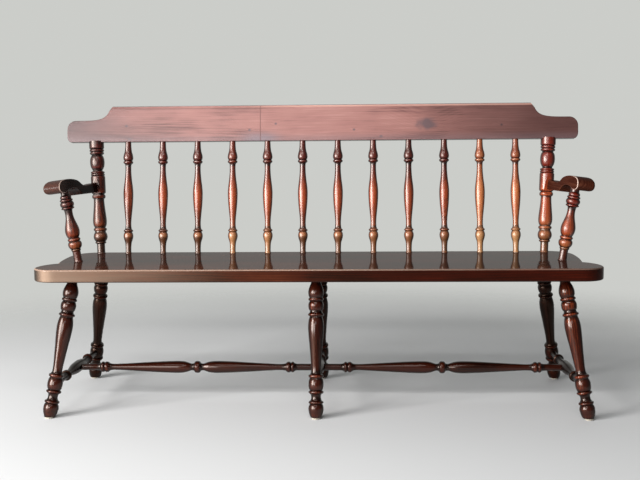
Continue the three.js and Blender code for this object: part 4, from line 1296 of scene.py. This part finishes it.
def add_floor():
    """A floor that fades with distance, and sooner where it is looked at than where it takes light."""
    bm = bmesh.new()
    bmesh.ops.create_circle(bm, cap_ends=True, radius=FLOOR_RADIUS, segments=FLOOR_SIDES)
    mesh = bpy.data.meshes.new("studio_floor")
    bm.to_mesh(mesh)
    bm.free()
    floor = new_object("studio_floor", mesh)
    material, tree, shader = new_material("studio_floor")
    feed(tree, shader, {
        "Base Color": FLOOR_COLOUR, "Roughness": FLOOR_ROUGHNESS, "Specular IOR Level": FLOOR_GLOSS})
    place = add(tree, "ShaderNodeTexCoord").outputs["Object"]
    distance = vector(tree, "LENGTH", place, output="Value")
    seen = both(tree, ranged(tree, distance, *FLOOR_SEEN_FADE), looked_at(tree))
    faded = calculate(tree, "MAXIMUM", ranged(tree, distance, *FLOOR_FADE), seen)
    clear = add(tree, "ShaderNodeBsdfTransparent").outputs[0]
    fade = add(tree, "ShaderNodeMixShader", {0: faded, 1: shader.outputs[0], 2: clear})
    feed(tree, tree.nodes["Material Output"], {"Surface": fade.outputs[0]})
    mesh.materials.append(material)


def add_world():
    """Seen directly the world is a pale wall; in a gloss it is dusky at one side; as light it is softer."""
    world = bpy.data.worlds.new("studio")
    bpy.context.scene.world = world
    world.use_nodes = True
    tree = world.node_tree
    light = tree.nodes["Background"]
    towards = add(tree, "ShaderNodeTexCoord").outputs["Generated"]
    dusk = vector(tree, "DOT_PRODUCT", towards, DUSK_FROM, output="Value")
    wall = mixed(tree, ranged(tree, dusk, *DUSK_FADE), PALE_WALL, DUSKY_WALL)
    rearward = add(tree, "ShaderNodeSeparateXYZ", {0: towards}).outputs["Y"]
    strength = ranged(tree, rearward, *REAR_SKY_FADE, SKY_SHARE, REAR_SKY_SHARE)
    feed(tree, light, {"Color": wall, "Strength": strength})
    directly = add(tree, "ShaderNodeLightPath").outputs["Is Camera Ray"]
    backdrop = mixed(tree, directly, wall, PALE_WALL)
    seen = add(tree, "ShaderNodeBackground", {"Color": backdrop, "Strength": 1.0})
    either = add(tree, "ShaderNodeMixShader", {0: looked_at(tree), 1: light.outputs[0], 2: seen.outputs[0]})
    feed(tree, tree.nodes["World Output"], {"Surface": either.outputs[0]})


def add_softbox(name, place, target, width, height, brightness, colour):
    data = bpy.data.lights.new(name, "AREA")
    data.shape = "RECTANGLE"
    data.size, data.size_y = width, height
    data.energy = brightness * math.pi * width * height
    data.color = colour
    lamp = new_object(name, data)
    lamp.location = place
    lamp.rotation_euler = (Vector(target) - Vector(place)).to_track_quat("-Z", "Y").to_euler()
    lamp.visible_camera = False


add_floor()
add_world()
for name, setting in SOFTBOXES.items():
    add_softbox(name, *setting)

# Camera: fitted to the photograph's frame of 640 by 480 pixels
PHOTO_WIDTH = 640
FOCAL_PIXELS = 980.1
SENSOR_WIDTH = 36.0
CAMERA_PLACE = (0.1352, -3.0296, 0.8207)
CAMERA_YAW, CAMERA_PITCH, CAMERA_ROLL = -0.0427, 0.1056, 0.0086


def add_camera():
    ahead = Vector((math.sin(CAMERA_YAW) * math.cos(CAMERA_PITCH),
                    math.cos(CAMERA_YAW) * math.cos(CAMERA_PITCH), -math.sin(CAMERA_PITCH)))
    level = Vector((math.cos(CAMERA_YAW), -math.sin(CAMERA_YAW), 0))
    below = ahead.cross(level)
    right = level * math.cos(CAMERA_ROLL) + below * math.sin(CAMERA_ROLL)
    down = below * math.cos(CAMERA_ROLL) - level * math.sin(CAMERA_ROLL)
    data = bpy.data.cameras.new("camera")
    data.sensor_width = SENSOR_WIDTH
    data.lens = FOCAL_PIXELS / PHOTO_WIDTH * SENSOR_WIDTH
    camera = new_object("camera", data)
    turn = Matrix((right, -down, -ahead)).transposed().to_4x4()
    camera.matrix_world = Matrix.Translation(CAMERA_PLACE) @ turn
    bpy.context.scene.camera = camera


add_camera()
bpy.context.scene.view_settings.view_transform = "Standard"
